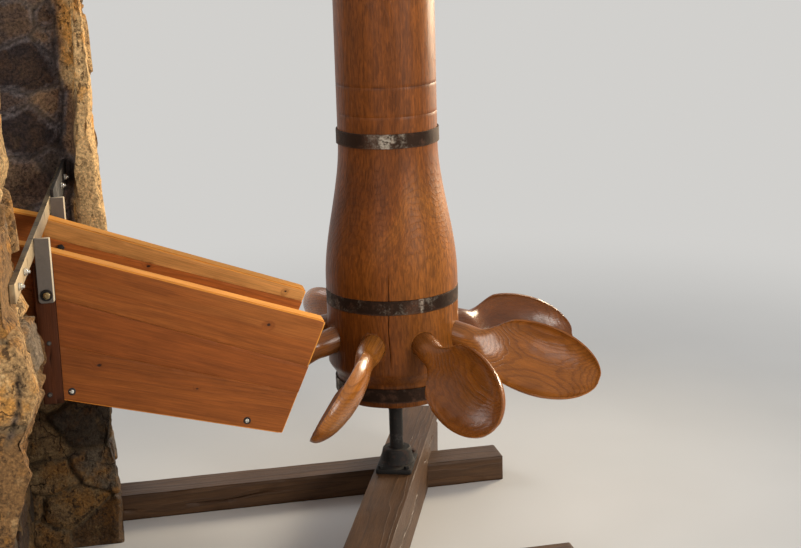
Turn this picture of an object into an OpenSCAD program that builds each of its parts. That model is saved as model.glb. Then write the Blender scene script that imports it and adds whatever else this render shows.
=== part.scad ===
// Horizontal water wheel of a small watermill: a turned trunk with eight carved
// spoon blades, standing in its footstep, and the board chute that feeds it,
// hung on a steel bar in an opening of the rubble wall.
// Millimetres, +Z up. The origin is on the shaft axis at ground level and +X is
// the way the water runs along the chute.

/* [Trunk] */
// Radius of the trunk above the flare
shaft_r = 139.5; // [120:0.5:165]
// Radius of the hub that holds the blades
hub_r = 188; // [175:0.5:215]
// Radius of the trunk's foot below the hub
foot_r = 166; // [140:0.5:172]
// Height of the trunk's bottom end above the ground
trunk_low_z = 400; // [370:1:430]
// Height of the trunk's top end above the ground
trunk_top_z = 1800; // [1500:10:2300]
// Height of the hub's lower rim
hub_low_z = 500; // [485:1:520]
// Height where the flare has reached the hub radius
flare_low_z = 745; // [725:1:790]

/* [Hoops] */
// Height of every iron hoop
hoop_h = 40; // [25:1:50]
// Thickness of every iron hoop
hoop_t = 5; // [3:0.5:8]
// Lower edge of the hoop above the flare
upper_hoop_z = 1135; // [1080:1:1300]
// Lower edge of the hoop on the hub
lower_hoop_z = 680; // [665:1:682]
// Lower edge of the hoop on the foot
foot_hoop_z = 418; // [412:1:424]
// Distance from the trunk's top end down to the top hoop
top_hoop_drop = 25; // [15:1:80]
// Depth of the seat cut for the hoop on the hub
hoop_rebate = 4; // [2:0.5:5]

/* [Blades] */
// Number of spoon blades
blades = 8; // [6:1:8]
// Turn of the first blade from -Y towards +X, in degrees
blade_turn = -30; // [-40:1:0]
// Radius of the circle that the blade tips run on
wheel_r = 600; // [560:5:610]
// Height where a blade's axis leaves the hub
neck_z = 585; // [575:1:590]
// Radius of the round neck of a blade
neck_r = 36; // [28:0.5:38]
// Slope of a blade below level, in degrees
blade_droop = 15.5; // [13:0.5:18]
// Lean of the bowl from upright, in degrees
bowl_lean = 34; // [25:1:45]
// Half the width of the bowl across the blade
bowl_half_w = 104; // [80:1:106]
// Depth of the hollow in the bowl
bowl_depth = 44; // [25:1:50]
// Thickness of the wood behind the deepest place of the hollow
bowl_wall = 20; // [14:1:28]
// Radius of the round tenon in the hub
tenon_r = 25; // [18:0.5:27]
// Length of the round tenon
tenon_len = 85; // [60:1:90]

/* [Pivot and spindle] */
// Radius of the pivot pin in its footstep
pivot_r = 20; // [14:0.5:24]
// Thickness of the iron under the pivot pin
footstep_floor = 16; // [10:1:25]
// Radius of the pin's tail in the trunk
tail_r = 22; // [18:0.5:28]
// Length of the pin's tail in the trunk
tail_len = 160; // [100:5:220]
// Radius of the driving spindle on top
spindle_r = 20; // [15:0.5:28]
// Length of the driving spindle above its collar
spindle_len = 140; // [90:5:220]
// Length of the spindle's tail in the trunk
spindle_tail = 200; // [120:5:300]
// Outer radius of the footstep bearing
footstep_r = 52; // [40:1:58]
// Height of the footstep bearing
footstep_h = 56; // [40:1:80]

/* [Ground timbers] */
// Width of the sole beam under the pivot
sole_w = 120; // [110:1:160]
// Height of the sole beam's top face
sole_top_z = 170; // [160:1:175]
// Length of the sole beam before the shaft
sole_front = 740; // [650:5:900]
// Length of the sole beam behind the shaft
sole_back = 520; // [420:5:700]
// Turn of the sole beam from +Y towards +X, in degrees
sole_turn = 20; // [10:1:25]
// Chamfer on the upper edges of the ground timbers
timber_chamfer = 7; // [2:0.5:12]
// Width of a sleeper
sleeper_w = 100; // [80:1:130]
// Depth of a sleeper
sleeper_h = 80; // [70:1:90]
// Place of the front sleeper along Y
sleeper_front_y = -520; // [-600:5:-450]
// Place of the rear sleeper along Y
sleeper_rear_y = 250; // [200:5:320]
// Reach of the sleepers past the shaft
sleeper_reach = 380; // [250:5:480]

/* [Chute] */
// Thickness of the side boards
board_t = 45; // [30:1:50]
// Thickness of the floor boards
floor_t = 36; // [25:1:45]
// Clear width at the outlet
outlet_gap = 248; // [200:1:260]
// Clear width at the joint with the feed trough
inlet_gap = 300; // [270:1:310]
// Middle of the chute along Y
chute_y = -532; // [-560:1:-520]
// Upper corner of the outlet along X
outlet_top_x = -304; // [-340:1:-290]
// Height of the upper corner of the outlet
outlet_top_z = 834; // [800:1:850]
// Lower corner of the outlet along X
outlet_low_x = -424; // [-450:1:-400]
// Height of the lower corner of the outlet
outlet_low_z = 565; // [563:1:580]
// Place of the joint with the feed trough along X
joint_x = -947; // [-960:1:-935]
// Rise of the chute's lower edge per length
low_slope = 0.283; // [0.2:0.001:0.3]
// Rise of the chute's upper edge per length
top_slope = 0.363; // [0.34:0.001:0.38]
// Radius of the side boards' upper corner at the outlet
outlet_round = 10; // [3:0.5:20]

/* [Hanger] */
// Width of the near upright batten
batten_w = 46; // [40:1:60]
// Thickness of the upright battens
batten_t = 28; // [20:1:32]
// Distance from the upper board edge down to the battens' top
batten_drop = 32; // [20:1:60]
// Width of the hanging straps
strap_w = 36; // [30:1:40]
// Thickness of the hanging straps
strap_t = 6; // [4:0.5:8]
// Bevel on the straps' edge towards the wheel
strap_bevel = 3; // [1:0.5:3.5]
// Length of the near hanging strap
strap_len = 150; // [130:1:170]
// Length of the far hanging strap
far_strap_len = 131; // [120:1:150]
// Distance from a strap's lower end up to its bolt
strap_bolt_up = 19; // [16:1:30]
// Radius of the strap bolts
bolt_r = 6; // [4:0.5:7]
// Radius of the bolts through the hanger bar
bar_bolt_r = 4; // [3:0.5:6]
// Height of the hanger bar's top face
bar_top_z = 1099; // [1096:1:1110]
// Depth of the hanger bar
bar_h = 40; // [30:1:45]
// Thickness of the hanger bar
bar_t = 12; // [8:1:14]
// Turn of the hanger bar from +Y towards +X, in degrees
bar_turn = 4.35; // [3:0.05:5]
// Near end of the hanger bar along Y
bar_near_y = -1160; // [-1200:5:-1100]
// Far end of the hanger bar along Y
bar_far_y = 120; // [100:1:130]

/* [Rubble wall] */
// Place of the wall's back face along X
wall_back_x = -1400; // [-1600:10:-1350]
// Near end of the wall along Y
wall_near_y = -1300; // [-1600:10:-1290]
// Near side of the opening along Y
opening_near_y = -830; // [-860:1:-820]
// Far side of the opening along Y
opening_far_y = 40; // [35:1:80]
// Far side of the recess behind the rear jamb's corner along Y
recess_far_y = 150; // [140:5:220]
// Far end of the wall along Y
wall_far_y = 460; // [400:10:800]
// Height of the wall's top
wall_top_z = 1620; // [1500:10:2200]

/* [Hidden] */
fit = 0.3;                    // clearance between pieces that seat on each other
$fn = 96;

larch = "#b5662a";
dark_larch = "#7a3d1c";
wet_oak = "#6b3a1f";
hoop_iron = "#3a332e";
steel = "#9aa0a6";
stone = "#b08a5a";

function smooth(t) = t * t * (3 - 2 * t);
function mix(a, b, t) = a + (b - a) * t;
function clamp01(t) = min(1, max(0, t));
function unit(v) = v / norm(v);
function turned(v, a) = [v[0] * cos(a) - v[1] * sin(a), v[0] * sin(a) + v[1] * cos(a)];

// The points that round the corner b of an outline that runs through a, b and c.
function fillet(a, b, c, r, steps = 6) =
    let (u = unit(a - b), v = unit(c - b),
         half = acos(u * v) / 2,
         middle = b + unit(u + v) * r / sin(half),
         start = b + u * r / tan(half) - middle,
         sweep = -(180 - 2 * half) * sign(cross(u, v)))
    [for (i = [0:steps]) middle + turned(start, sweep * i / steps)];

module upright(thick) {
    rotate([90, 0, 0])
        linear_extrude(height = thick)
            children();
}

// A hexagon bolt along +Z from the height low to high, its head below low and its
// washer and nut above high.
module hex_bolt(r, low, high, head = true) {
    across = 3.1 * r;
    head_h = 1.3 * r;
    washer_h = 0.35 * r;
    stud = 0.8 * r;
    if (head)
        translate([0, 0, low - head_h])
            cylinder(h = head_h, r = across / sqrt(3), $fn = 6);
    translate([0, 0, low])
        cylinder(h = high + washer_h + head_h + stud - low, r = r, $fn = 48);
    translate([0, 0, high])
        cylinder(h = washer_h, r = 2.25 * r, $fn = 48);
    translate([0, 0, high + washer_h])
        cylinder(h = head_h, r = across / sqrt(3), $fn = 6);
}

// Trunk: turned in one piece, with the hoop seats and the blade mortises.
flare_top_z = upper_hoop_z;
flare_steps = 18;
end_chamfer = 8;
foot_shoulder = 30;
hub_seat_r = hub_r - hoop_rebate;
top_hoop_z = trunk_top_z - top_hoop_drop - hoop_h;

flare_points = [
    for (i = [0:flare_steps])
        let (t = i / flare_steps)
        [mix(hub_r, shaft_r, smooth(t)), mix(flare_low_z, flare_top_z, t)]
];

trunk_profile = concat(
    [[0, trunk_low_z],
     [foot_r - end_chamfer, trunk_low_z],
     [foot_r, trunk_low_z + end_chamfer],
     [foot_r, hub_low_z - foot_shoulder],
     [hub_r, hub_low_z],
     [hub_r, lower_hoop_z],
     [hub_seat_r, lower_hoop_z],
     [hub_seat_r, lower_hoop_z + hoop_h],
     [hub_r, lower_hoop_z + hoop_h]],
    flare_points,
    [[shaft_r, trunk_top_z - end_chamfer],
     [shaft_r - end_chamfer, trunk_top_z],
     [0, trunk_top_z]]);

// A blade's own frame: the origin on the flat shoulder of its neck, +X out along
// the blade, +Y the way the wheel turns, +Z up. The shoulder lies deep enough
// that the whole neck end is housed in the hub.
shoulder_in = neck_r * tan(blade_droop) + hub_r - sqrt(hub_r * hub_r - neck_r * neck_r) + 2;
shoulder_r = hub_r - shoulder_in;
shoulder_z = neck_z + shoulder_in * tan(blade_droop);
blade_len = (wheel_r - shoulder_r) / cos(blade_droop);

module at_blade(i) {
    rotate([0, 0, blade_turn - 90 + i * 360 / blades])
        translate([shoulder_r, 0, shoulder_z])
            rotate([0, blade_droop, 0])
                children();
}

module mortise() {
    housing_len = 90;
    translate([-fit, 0, 0])
        rotate([0, 90, 0])
            cylinder(h = housing_len, r = neck_r + fit);
    translate([-tenon_len - 2 * fit, 0, 0])
        rotate([0, 90, 0])
            cylinder(h = tenon_len + housing_len, r = tenon_r + fit);
}

module shaft_trunk() {
    color(larch)
        difference() {
            rotate_extrude()
                polygon(trunk_profile);
            for (i = [0:blades - 1])
                at_blade(i) mortise();
            translate([0, 0, trunk_low_z - 1])
                cylinder(h = tail_len + fit + 1, r = tail_r + fit);
            translate([0, 0, trunk_top_z - spindle_tail - fit])
                cylinder(h = spindle_tail + fit + 1, r = tail_r + fit);
        }
}

module hoop(seat_r, low_z) {
    color(hoop_iron)
        translate([0, 0, low_z])
            rotate_extrude()
                translate([seat_r + fit, 0])
                    square([hoop_t, hoop_h]);
}

module hoop_upper() hoop(shaft_r, upper_hoop_z);
module hoop_lower() hoop(hub_seat_r, lower_hoop_z);
module hoop_foot() hoop(foot_r, foot_hoop_z);
module hoop_top() hoop(shaft_r, top_hoop_z);

// Spoon blade: rings of points along the blade. A ring is a circle at the neck
// and turns into the hollowed section of the bowl, which leans forward.
ring_points = 28;
bowl_rings = 15;
bowl_start = 40;
bowl_mid = 0.585 * blade_len;
bowl_half_len = blade_len - bowl_mid;
rim_lip = 5;
rim_front = 22;
tip_half_w = 14;
bowl_blend = 130;

function bowl_shape(s) = sqrt(max(0, 1 - pow((s - bowl_mid) / bowl_half_len, 2)));
function half_width(s) =
    let (fade = clamp01((s - bowl_start) / (blade_len - bowl_start)))
    sqrt(pow(bowl_half_w * bowl_shape(s), 2) + pow(mix(neck_r, tip_half_w, fade), 2) * (1 - bowl_shape(s)));
function to_bowl(s) = smooth(clamp01((s - bowl_start) / bowl_blend));
function hollow(s) = bowl_depth * pow(bowl_shape(s), 1.5);
function back_wall(s) = mix(0.45 * bowl_wall, bowl_wall, bowl_shape(s));

function round_point(r, a) = [r * cos(a), r * sin(a)];
function bowl_point(s, a) =
    let (front = sin(a) >= 0,
         w = half_width(s) - (front ? rim_lip : 0),
         depth = hollow(s) + (front ? 0 : back_wall(s)))
    [w * cos(a), rim_front * to_bowl(s) - depth * pow(abs(sin(a)), front ? 1.3 : 0.8)];
function ring_point(s, a) = mix(round_point(neck_r, a), bowl_point(s, a), to_bowl(s));
function lean(p) = [p[0] * sin(bowl_lean) - p[1] * cos(bowl_lean),
                    p[0] * cos(bowl_lean) + p[1] * sin(bowl_lean)];
function ring(s, r) = [
    for (k = [0:ring_points - 1])
        let (a = 360 * (k + 0.5) / ring_points,
             p = lean(r > 0 ? round_point(r, a) : ring_point(s, a)))
        [s, p[0], p[1]]
];

bowl_stations = [
    for (k = [1:bowl_rings])
        let (t = k / bowl_rings)
        mix(bowl_start, blade_len - 2, sin(90 * t))
];
blade_rings = concat(
    [ring(-tenon_len, tenon_r - 4), ring(-tenon_len + 4, tenon_r), ring(-fit, tenon_r),
     ring(0, neck_r), ring(bowl_start, neck_r)],
    [for (s = bowl_stations) ring(s, 0)]);

module loft(rings) {
    n = len(rings[0]);
    m = len(rings);
    sides = [
        for (i = [0:m - 2], k = [0:n - 1])
            let (a = i * n + k, b = i * n + (k + 1) % n)
            [[a, b, b + n], [a, b + n, a + n]]
    ];
    faces = concat(
        [for (pair = sides, f = pair) f],
        [[for (k = [n - 1:-1:0]) k]],
        [[for (k = [0:n - 1]) (m - 1) * n + k]]);
    polyhedron(points = [for (r = rings, p = r) p], faces = faces, convexity = 6);
}

module blade(i) {
    color(wet_oak)
        if (i < blades) at_blade(i) loft(blade_rings);
}

module blade_1() blade(0);
module blade_2() blade(1);
module blade_3() blade(2);
module blade_4() blade(3);
module blade_5() blade(4);
module blade_6() blade(5);
module blade_7() blade(6);
module blade_8() blade(7);

// Pivot pin below and driving spindle above, both with a tail in the trunk.
pivot_low_z = sole_top_z + footstep_floor;
pin_collar_r = 40;
pin_collar_h = 14;
pin_chamfer = 4;

module pivot_pin() {
    shoulder_r = tail_r + 4;
    shoulder_low = 60;
    shoulder_high = 40;
    color(hoop_iron)
        rotate_extrude()
            polygon([[0, pivot_low_z],
                     [pivot_r - pin_chamfer, pivot_low_z],
                     [pivot_r, pivot_low_z + pin_chamfer],
                     [pivot_r, trunk_low_z - shoulder_low],
                     [shoulder_r, trunk_low_z - shoulder_high],
                     [shoulder_r, trunk_low_z - pin_collar_h - fit],
                     [pin_collar_r, trunk_low_z - pin_collar_h - fit],
                     [pin_collar_r, trunk_low_z - fit],
                     [tail_r, trunk_low_z - fit],
                     [tail_r, trunk_low_z + tail_len],
                     [0, trunk_low_z + tail_len]]);
}

spindle_top_z = trunk_top_z + pin_collar_h + fit + spindle_len;

module drive_spindle() {
    color(hoop_iron)
        rotate_extrude()
            polygon([[0, trunk_top_z - spindle_tail],
                     [tail_r, trunk_top_z - spindle_tail],
                     [tail_r, trunk_top_z + fit],
                     [pin_collar_r, trunk_top_z + fit],
                     [pin_collar_r, trunk_top_z + pin_collar_h + fit],
                     [spindle_r, trunk_top_z + pin_collar_h + fit],
                     [spindle_r, spindle_top_z - pin_chamfer],
                     [spindle_r - pin_chamfer, spindle_top_z],
                     [0, spindle_top_z]]);
}

module footstep_bearing() {
    base_w = 2 * footstep_r;
    base_len = 1.6 * base_w;
    base_h = 14;
    block_taper = 8;
    color(hoop_iron)
        difference() {
            union() {
                rotate([0, 0, -sole_turn])
                    translate([-footstep_r, -base_len / 2, sole_top_z])
                        cube([base_w, base_len, base_h]);
                translate([0, 0, sole_top_z])
                    cylinder(h = footstep_h, r1 = footstep_r, r2 = footstep_r - block_taper);
            }
            translate([0, 0, pivot_low_z - fit])
                cylinder(h = footstep_h, r = pivot_r + fit);
        }
}

// Ground timbers: the sole beam lies on the ground and is notched over two
// sleepers, whose far ends are bedded in the wall.
sleeper_cover = 150;
sleeper_end_x = wall_back_x + sleeper_cover;

module timber_section(w, h) {
    c = timber_chamfer;
    polygon([[-w / 2, 0], [w / 2, 0], [w / 2, h - c], [w / 2 - c, h], [c - w / 2, h], [-w / 2, h - c]]);
}

module sleeper(y) {
    color(dark_larch)
        translate([sleeper_end_x, y, 0])
            rotate([0, 0, 90])
                upright(sleeper_reach - sleeper_end_x)
                    timber_section(sleeper_w, sleeper_h);
}

module sleeper_front() sleeper(sleeper_front_y);
module sleeper_rear() sleeper(sleeper_rear_y);

// The seat for a sleeper, open to the ground so that the beam drops over it.
module sleeper_notch(y, gap) {
    drop = 10;
    translate([sleeper_end_x - gap, y - sleeper_w / 2 - gap, -drop])
        cube([sleeper_reach - sleeper_end_x + 2 * gap, sleeper_w + 2 * gap, sleeper_h + drop]);
}

module sole_beam() {
    color(dark_larch)
        difference() {
            rotate([0, 0, -sole_turn])
                translate([0, sole_back, 0])
                    upright(sole_front + sole_back)
                        timber_section(sole_w, sole_top_z);
            sleeper_notch(sleeper_front_y, 2 * fit);
            sleeper_notch(sleeper_rear_y, 2 * fit);
        }
}

// Chute: tapered side boards and a floor between them, then the feed trough
// that runs on through the wall at one width.
feed_end_x = wall_back_x;
joint_gap = 0.5;
splay = atan((inlet_gap - outlet_gap) / 2 / (outlet_top_x - joint_x));

function low_z(x) = outlet_low_z + low_slope * (outlet_low_x - x);
function top_z(x) = outlet_top_z + top_slope * (outlet_top_x - x);
function feed_top_z(x) = top_z(joint_x) + low_slope * (joint_x - x);
function half_gap(x) = mix(outlet_gap / 2, inlet_gap / 2, (outlet_top_x - x) / (outlet_top_x - joint_x));

module chute_side_outline() {
    outlet_low = [outlet_low_x, outlet_low_z];
    outlet_top = [outlet_top_x, outlet_top_z];
    wall_top = [joint_x, top_z(joint_x)];
    polygon(concat(fillet(outlet_low, outlet_top, wall_top, outlet_round),
                   [wall_top, [joint_x, low_z(joint_x)], outlet_low]));
}

module feed_side_outline() {
    x0 = joint_x - joint_gap;
    polygon([[x0, feed_top_z(x0)],
             [feed_end_x, feed_top_z(feed_end_x)],
             [feed_end_x, low_z(feed_end_x)],
             [x0, low_z(x0)]]);
}

module chute_side(side) {
    color(larch)
        difference() {
            translate([outlet_top_x, chute_y + side * outlet_gap / 2, 0])
                rotate([0, 0, side * -splay])
                    translate([-outlet_top_x, side > 0 ? board_t : 0, 0])
                        upright(board_t) chute_side_outline();
            translate([joint_x - inlet_gap, chute_y - inlet_gap, 0])
                cube([inlet_gap, 2 * inlet_gap, 2 * top_z(joint_x)]);
            strap_bolt_hole(side);
            bar_notch();
        }
}

module feed_side(side) {
    color(larch)
        difference() {
            translate([0, chute_y + side * inlet_gap / 2 + (side > 0 ? board_t : 0), 0])
                upright(board_t) feed_side_outline();
            strap_bolt_hole(side);
            bar_notch();
        }
}

module chute_near_board() chute_side(-1);
module chute_far_board() chute_side(1);
module feed_near_board() feed_side(-1);
module feed_far_board() feed_side(1);

cut_slope = (outlet_top_x - outlet_low_x) / (outlet_top_z - outlet_low_z);

module chute_floor() {
    lip_h = 0.9 * floor_t;
    color(larch)
        intersection() {
            translate([0, chute_y + inlet_gap, 0])
                upright(2 * inlet_gap)
                    polygon([[outlet_low_x, outlet_low_z],
                             [outlet_low_x + cut_slope * lip_h, outlet_low_z + lip_h],
                             [joint_x, low_z(joint_x) + floor_t],
                             [joint_x, low_z(joint_x)]]);
            linear_extrude(height = 2 * top_z(joint_x))
                polygon([[outlet_top_x, chute_y - half_gap(outlet_top_x) + fit],
                         [outlet_top_x, chute_y + half_gap(outlet_top_x) - fit],
                         [joint_x, chute_y + half_gap(joint_x) - fit],
                         [joint_x, chute_y - half_gap(joint_x) + fit]]);
        }
}

module feed_floor() {
    x0 = joint_x - joint_gap;
    color(larch)
        translate([0, chute_y + inlet_gap / 2 - fit, 0])
            upright(inlet_gap - 2 * fit)
                polygon([[x0, low_z(x0)],
                         [x0, low_z(x0) + floor_t],
                         [feed_end_x, low_z(feed_end_x) + floor_t],
                         [feed_end_x, low_z(feed_end_x)]]);
}

// Hanger: a bar across the opening, a strap down to each side of the chute,
// and an upright batten under each strap, over the joint of the boards. The bar
// stands a little askew, so the far strap hangs nearer to the wheel.
batten_low_z = low_z(joint_x) - 4;
batten_top_z = top_z(joint_x) - batten_drop;
batten_chamfer = 3;
strap_x = joint_x + 4;
board_out = inlet_gap / 2 + board_t;
strap_in = board_out + batten_t + 2 * fit;
bolt_gap_r = bolt_r + fit;

// The face of the bar towards the wheel, at a place along Y.
near_strap_y = chute_y - strap_in;
bar_face_x = strap_x - strap_w / 2 - fit;
function bar_x(y) = bar_face_x + (y - near_strap_y) * tan(bar_turn);

function strap_far_face(side) = side < 0 ? near_strap_y : chute_y + strap_in + strap_t;
function strap_low_x(side) = bar_x(strap_far_face(side)) + fit;
function strap_mid_x(side) = strap_low_x(side) + strap_w / 2;
function strap_low_z(side) = bar_top_z - (side < 0 ? strap_len : far_strap_len);
function strap_bolt_z(side) = strap_low_z(side) + strap_bolt_up;

// The line of a strap's bolt, from the middle of the chute outwards.
module at_strap_bolt(side) {
    translate([strap_mid_x(side), chute_y, strap_bolt_z(side)])
        rotate([side * -90, 0, 0])
            children();
}

module strap_bolt_hole(side) {
    at_strap_bolt(side)
        cylinder(h = strap_in + 2 * strap_t, r = bolt_gap_r);
}

// A batten covers the joint of the boards and reaches under the whole strap.
module batten(side) {
    low_x = joint_x - batten_w / 2;
    high_x = max(joint_x + batten_w / 2, strap_mid_x(side) + strap_w / 2 + 2 * fit);
    w = high_x - low_x;
    c = batten_chamfer;
    color(dark_larch)
        difference() {
            translate([low_x, chute_y + side * (board_out + fit), batten_low_z])
                linear_extrude(height = batten_top_z - batten_low_z)
                    polygon([[0, 0], [w, 0], [w, side * (batten_t - c)], [w - c, side * batten_t],
                             [c, side * batten_t], [0, side * (batten_t - c)]]);
            strap_bolt_hole(side);
        }
}

module strap(side) {
    len = bar_top_z - strap_low_z(side);
    corner = 8;
    bevel_side = sqrt(2) * strap_bevel;
    color(steel)
        difference() {
            translate([strap_low_x(side), strap_far_face(side), strap_low_z(side)])
                upright(strap_t)
                    union() {
                        translate([0, corner]) square([strap_w, len - corner]);
                        translate([corner, 0]) square([strap_w - 2 * corner, len]);
                        translate([corner, corner]) circle(r = corner, $fn = 32);
                        translate([strap_w - corner, corner]) circle(r = corner, $fn = 32);
                    }
            translate([strap_low_x(side) + strap_w, strap_far_face(side) - strap_t, strap_low_z(side) - 1])
                rotate([0, 0, 45])
                    translate([-bevel_side / 2, -bevel_side / 2, 0])
                        cube([bevel_side, bevel_side, len + 2]);
            strap_bolt_hole(side);
        }
}

module batten_near() batten(-1);
module batten_far() batten(1);
module strap_near() strap(-1);
module strap_far() strap(1);

// The heads lie inside the chute, clear of the slant of its boards.
module strap_bolts() {
    head_reach = 2 * bolt_r;
    color(steel)
        for (side = [-1, 1])
            at_strap_bolt(side)
                hex_bolt(bolt_r, half_gap(strap_mid_x(side) + head_reach) - fit, strap_in + strap_t + fit);
}

// The bar is bolted to the near jamb, and at its far end to a bracket on its face
// towards the wheel, which reaches into the rear jamb. Places along the bar count
// from its near end.
bar_len = (bar_far_y - bar_near_y) / cos(bar_turn);
wall_bolts = [60, 180];
far_bolts = [bar_len - 50, bar_len - 170];
wall_bolt_len = 110;
bracket_h = 70;
bracket_t = 8;
bracket_lap = 400;
bracket_in = 120;

module at_bar(along) {
    translate([bar_x(bar_near_y), bar_near_y, 0])
        rotate([0, 0, -bar_turn])
            translate([0, along, 0])
                children();
}

module bar_bolt_hole(along) {
    over = 5;
    at_bar(along)
        translate([-wall_bolt_len - over, 0, bar_top_z - bar_h / 2])
            rotate([0, 90, 0])
                cylinder(h = wall_bolt_len + bracket_t + 2 * over, r = bar_bolt_r + fit, $fn = 48);
}

module bar_solid(gap) {
    at_bar(0)
        translate([-bar_t - gap, -gap, bar_top_z - bar_h - gap])
            cube([bar_t + 2 * gap, bar_len + 2 * gap, bar_h + 2 * gap]);
}

// The bar is let into the upper edges of the boards that it crosses.
module bar_notch() {
    bar_solid(fit);
}

module hanger_bar() {
    color(steel)
        difference() {
            bar_solid(0);
            for (a = concat(wall_bolts, far_bolts))
                bar_bolt_hole(a);
        }
}

module bracket_solid(gap) {
    at_bar(bar_len - bracket_lap)
        translate([fit - gap, -gap, bar_top_z - bar_h / 2 - bracket_h / 2 - gap])
            cube([bracket_t + 2 * gap, bracket_lap + bracket_in + 2 * gap, bracket_h + 2 * gap]);
}

module rear_bracket() {
    color(hoop_iron)
        difference() {
            bracket_solid(0);
            for (a = far_bolts)
                bar_bolt_hole(a);
        }
}

// A bolt across the bar, from the place low to the place high, counted from the
// bar's face towards the wheel.
module cross_bolt(along, low, high, head) {
    at_bar(along)
        translate([0, 0, bar_top_z - bar_h / 2])
            rotate([0, 90, 0])
                hex_bolt(bar_bolt_r, low, high, head);
}

module bar_bolts() {
    color(steel) {
        for (a = wall_bolts) cross_bolt(a, -wall_bolt_len, fit, false);
        for (a = far_bolts) cross_bolt(a, -bar_t - fit, bracket_t + 2 * fit, true);
    }
}

// Rubble wall: two jambs and the sill between them. The outline of the face
// towards the wheel follows the bulges of the stonework.
near_face = [[-1035, 0], [-1048, 420], [-1030, 590], [-1000, 720], [-952, 850], [-958, 900],
             [-975, 968], [-1000, 1043], [-989, 1110], [-994, 1190], [-1003, 1248],
             [-993, 1285], [-1005, 1340], [-998, wall_top_z]];
rear_face = [[-802, 0], [-810, 320], [-790, 600], [-789, 945], [-796, 1040], [-791, 1120],
             [-803, 1190], [-792, 1315], [-798, wall_top_z]];

function wall_outline(face) = concat([[wall_back_x, 0]], face, [[wall_back_x, wall_top_z]]);

// A pocket in the stonework, open towards the wheel, in which the bar's end is fixed.
module bar_pocket() {
    pocket_deep = 300;
    pocket_h = bar_h + 80;
    at_bar(-pocket_deep)
        translate([-bar_t - fit, 0, bar_top_z - bar_h - fit])
            cube([pocket_deep, pocket_deep + bar_len, pocket_h]);
}

module near_jamb() {
    color(stone)
        difference() {
            translate([0, opening_near_y, 0])
                upright(opening_near_y - wall_near_y)
                    polygon(wall_outline(near_face));
            bar_pocket();
            for (a = wall_bolts)
                bar_bolt_hole(a);
        }
}

// Behind its front corner the rear jamb steps back, above the level of the sill,
// so that the bar and its bracket pass beside the corner.
recess_clear = 10;
recess_front_x = bar_x(recess_far_y) + bracket_t + 2 * fit + recess_clear;
recess_low_z = low_z(wall_back_x);

module rear_jamb() {
    color(stone)
        difference() {
            translate([0, wall_far_y, 0])
                upright(wall_far_y - opening_far_y)
                    polygon(wall_outline(rear_face));
            translate([wall_back_x - 1, opening_far_y - 1, recess_low_z])
                cube([recess_front_x - wall_back_x + 1, recess_far_y - opening_far_y + 1, wall_top_z]);
            bracket_solid(fit);
            sleeper_notch(sleeper_rear_y, fit);
        }
}

sill_step_x = -1160;
sill_front_x = -1050;
sill_low_z = 380;

module sill_wall() {
    color(stone)
        difference() {
            translate([0, opening_far_y, 0])
                upright(opening_far_y - opening_near_y)
                    polygon([[wall_back_x, 0],
                             [sill_front_x, 0],
                             [sill_front_x, sill_low_z],
                             [sill_step_x, sill_low_z],
                             [sill_step_x, low_z(sill_step_x) - fit],
                             [wall_back_x, low_z(wall_back_x) - fit]]);
            sleeper_notch(sleeper_front_y, fit);
        }
}

shaft_trunk();
hoop_upper();
hoop_lower();
hoop_foot();
hoop_top();
pivot_pin();
drive_spindle();
blade_1();
blade_2();
blade_3();
blade_4();
blade_5();
blade_6();
blade_7();
blade_8();
footstep_bearing();
sole_beam();
sleeper_front();
sleeper_rear();
chute_near_board();
chute_far_board();
chute_floor();
feed_near_board();
feed_far_board();
feed_floor();
batten_near();
batten_far();
strap_near();
strap_far();
strap_bolts();
hanger_bar();
rear_bracket();
bar_bolts();
near_jamb();
rear_jamb();
sill_wall();
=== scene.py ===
"""Looks of a horizontal water wheel with its board chute in a rubble wall opening.

Metres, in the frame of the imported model: +Z up, the origin on the shaft axis at ground
level, +X along the chute from the wall to the wheel. Wood is dressed by an attribute named
grain, which holds each point's place in the log that the piece was cut from: its first two
numbers are across the fibres, with the pith at zero, and the third is along them.
"""
import math

import bmesh
import bpy
import numpy as np
from mathutils import Matrix, Vector
from mathutils.kdtree import KDTree


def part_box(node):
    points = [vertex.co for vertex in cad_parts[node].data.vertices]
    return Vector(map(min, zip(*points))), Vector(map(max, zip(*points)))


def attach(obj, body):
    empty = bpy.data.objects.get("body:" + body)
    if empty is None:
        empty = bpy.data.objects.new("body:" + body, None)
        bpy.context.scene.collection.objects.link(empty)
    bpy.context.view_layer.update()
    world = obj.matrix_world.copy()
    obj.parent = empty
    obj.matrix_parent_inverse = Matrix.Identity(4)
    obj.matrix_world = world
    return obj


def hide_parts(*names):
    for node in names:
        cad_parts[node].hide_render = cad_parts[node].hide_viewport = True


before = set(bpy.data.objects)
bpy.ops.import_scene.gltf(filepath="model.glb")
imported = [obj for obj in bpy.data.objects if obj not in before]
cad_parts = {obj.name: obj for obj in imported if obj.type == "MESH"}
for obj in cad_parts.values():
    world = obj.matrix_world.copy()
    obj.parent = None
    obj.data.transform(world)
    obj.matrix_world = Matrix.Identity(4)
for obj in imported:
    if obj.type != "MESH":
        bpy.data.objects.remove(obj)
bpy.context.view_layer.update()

# View: where the photograph was taken from, and its frame.
IMAGE_W = 801
FOCAL_PX = 1552.0
CAMERA_AZIMUTH = math.radians(-11.5)
CAMERA_DISTANCE = 4.288
CAMERA_HEIGHT = 1.868
CAMERA_PITCH = math.radians(14.63)
CAMERA_ROLL = math.radians(1.633)
AXIS_PX = -9.5
SENSOR_W = 36.0

# Clearance between pieces that touch, as in the CAD.
FIT = 0.0003

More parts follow.
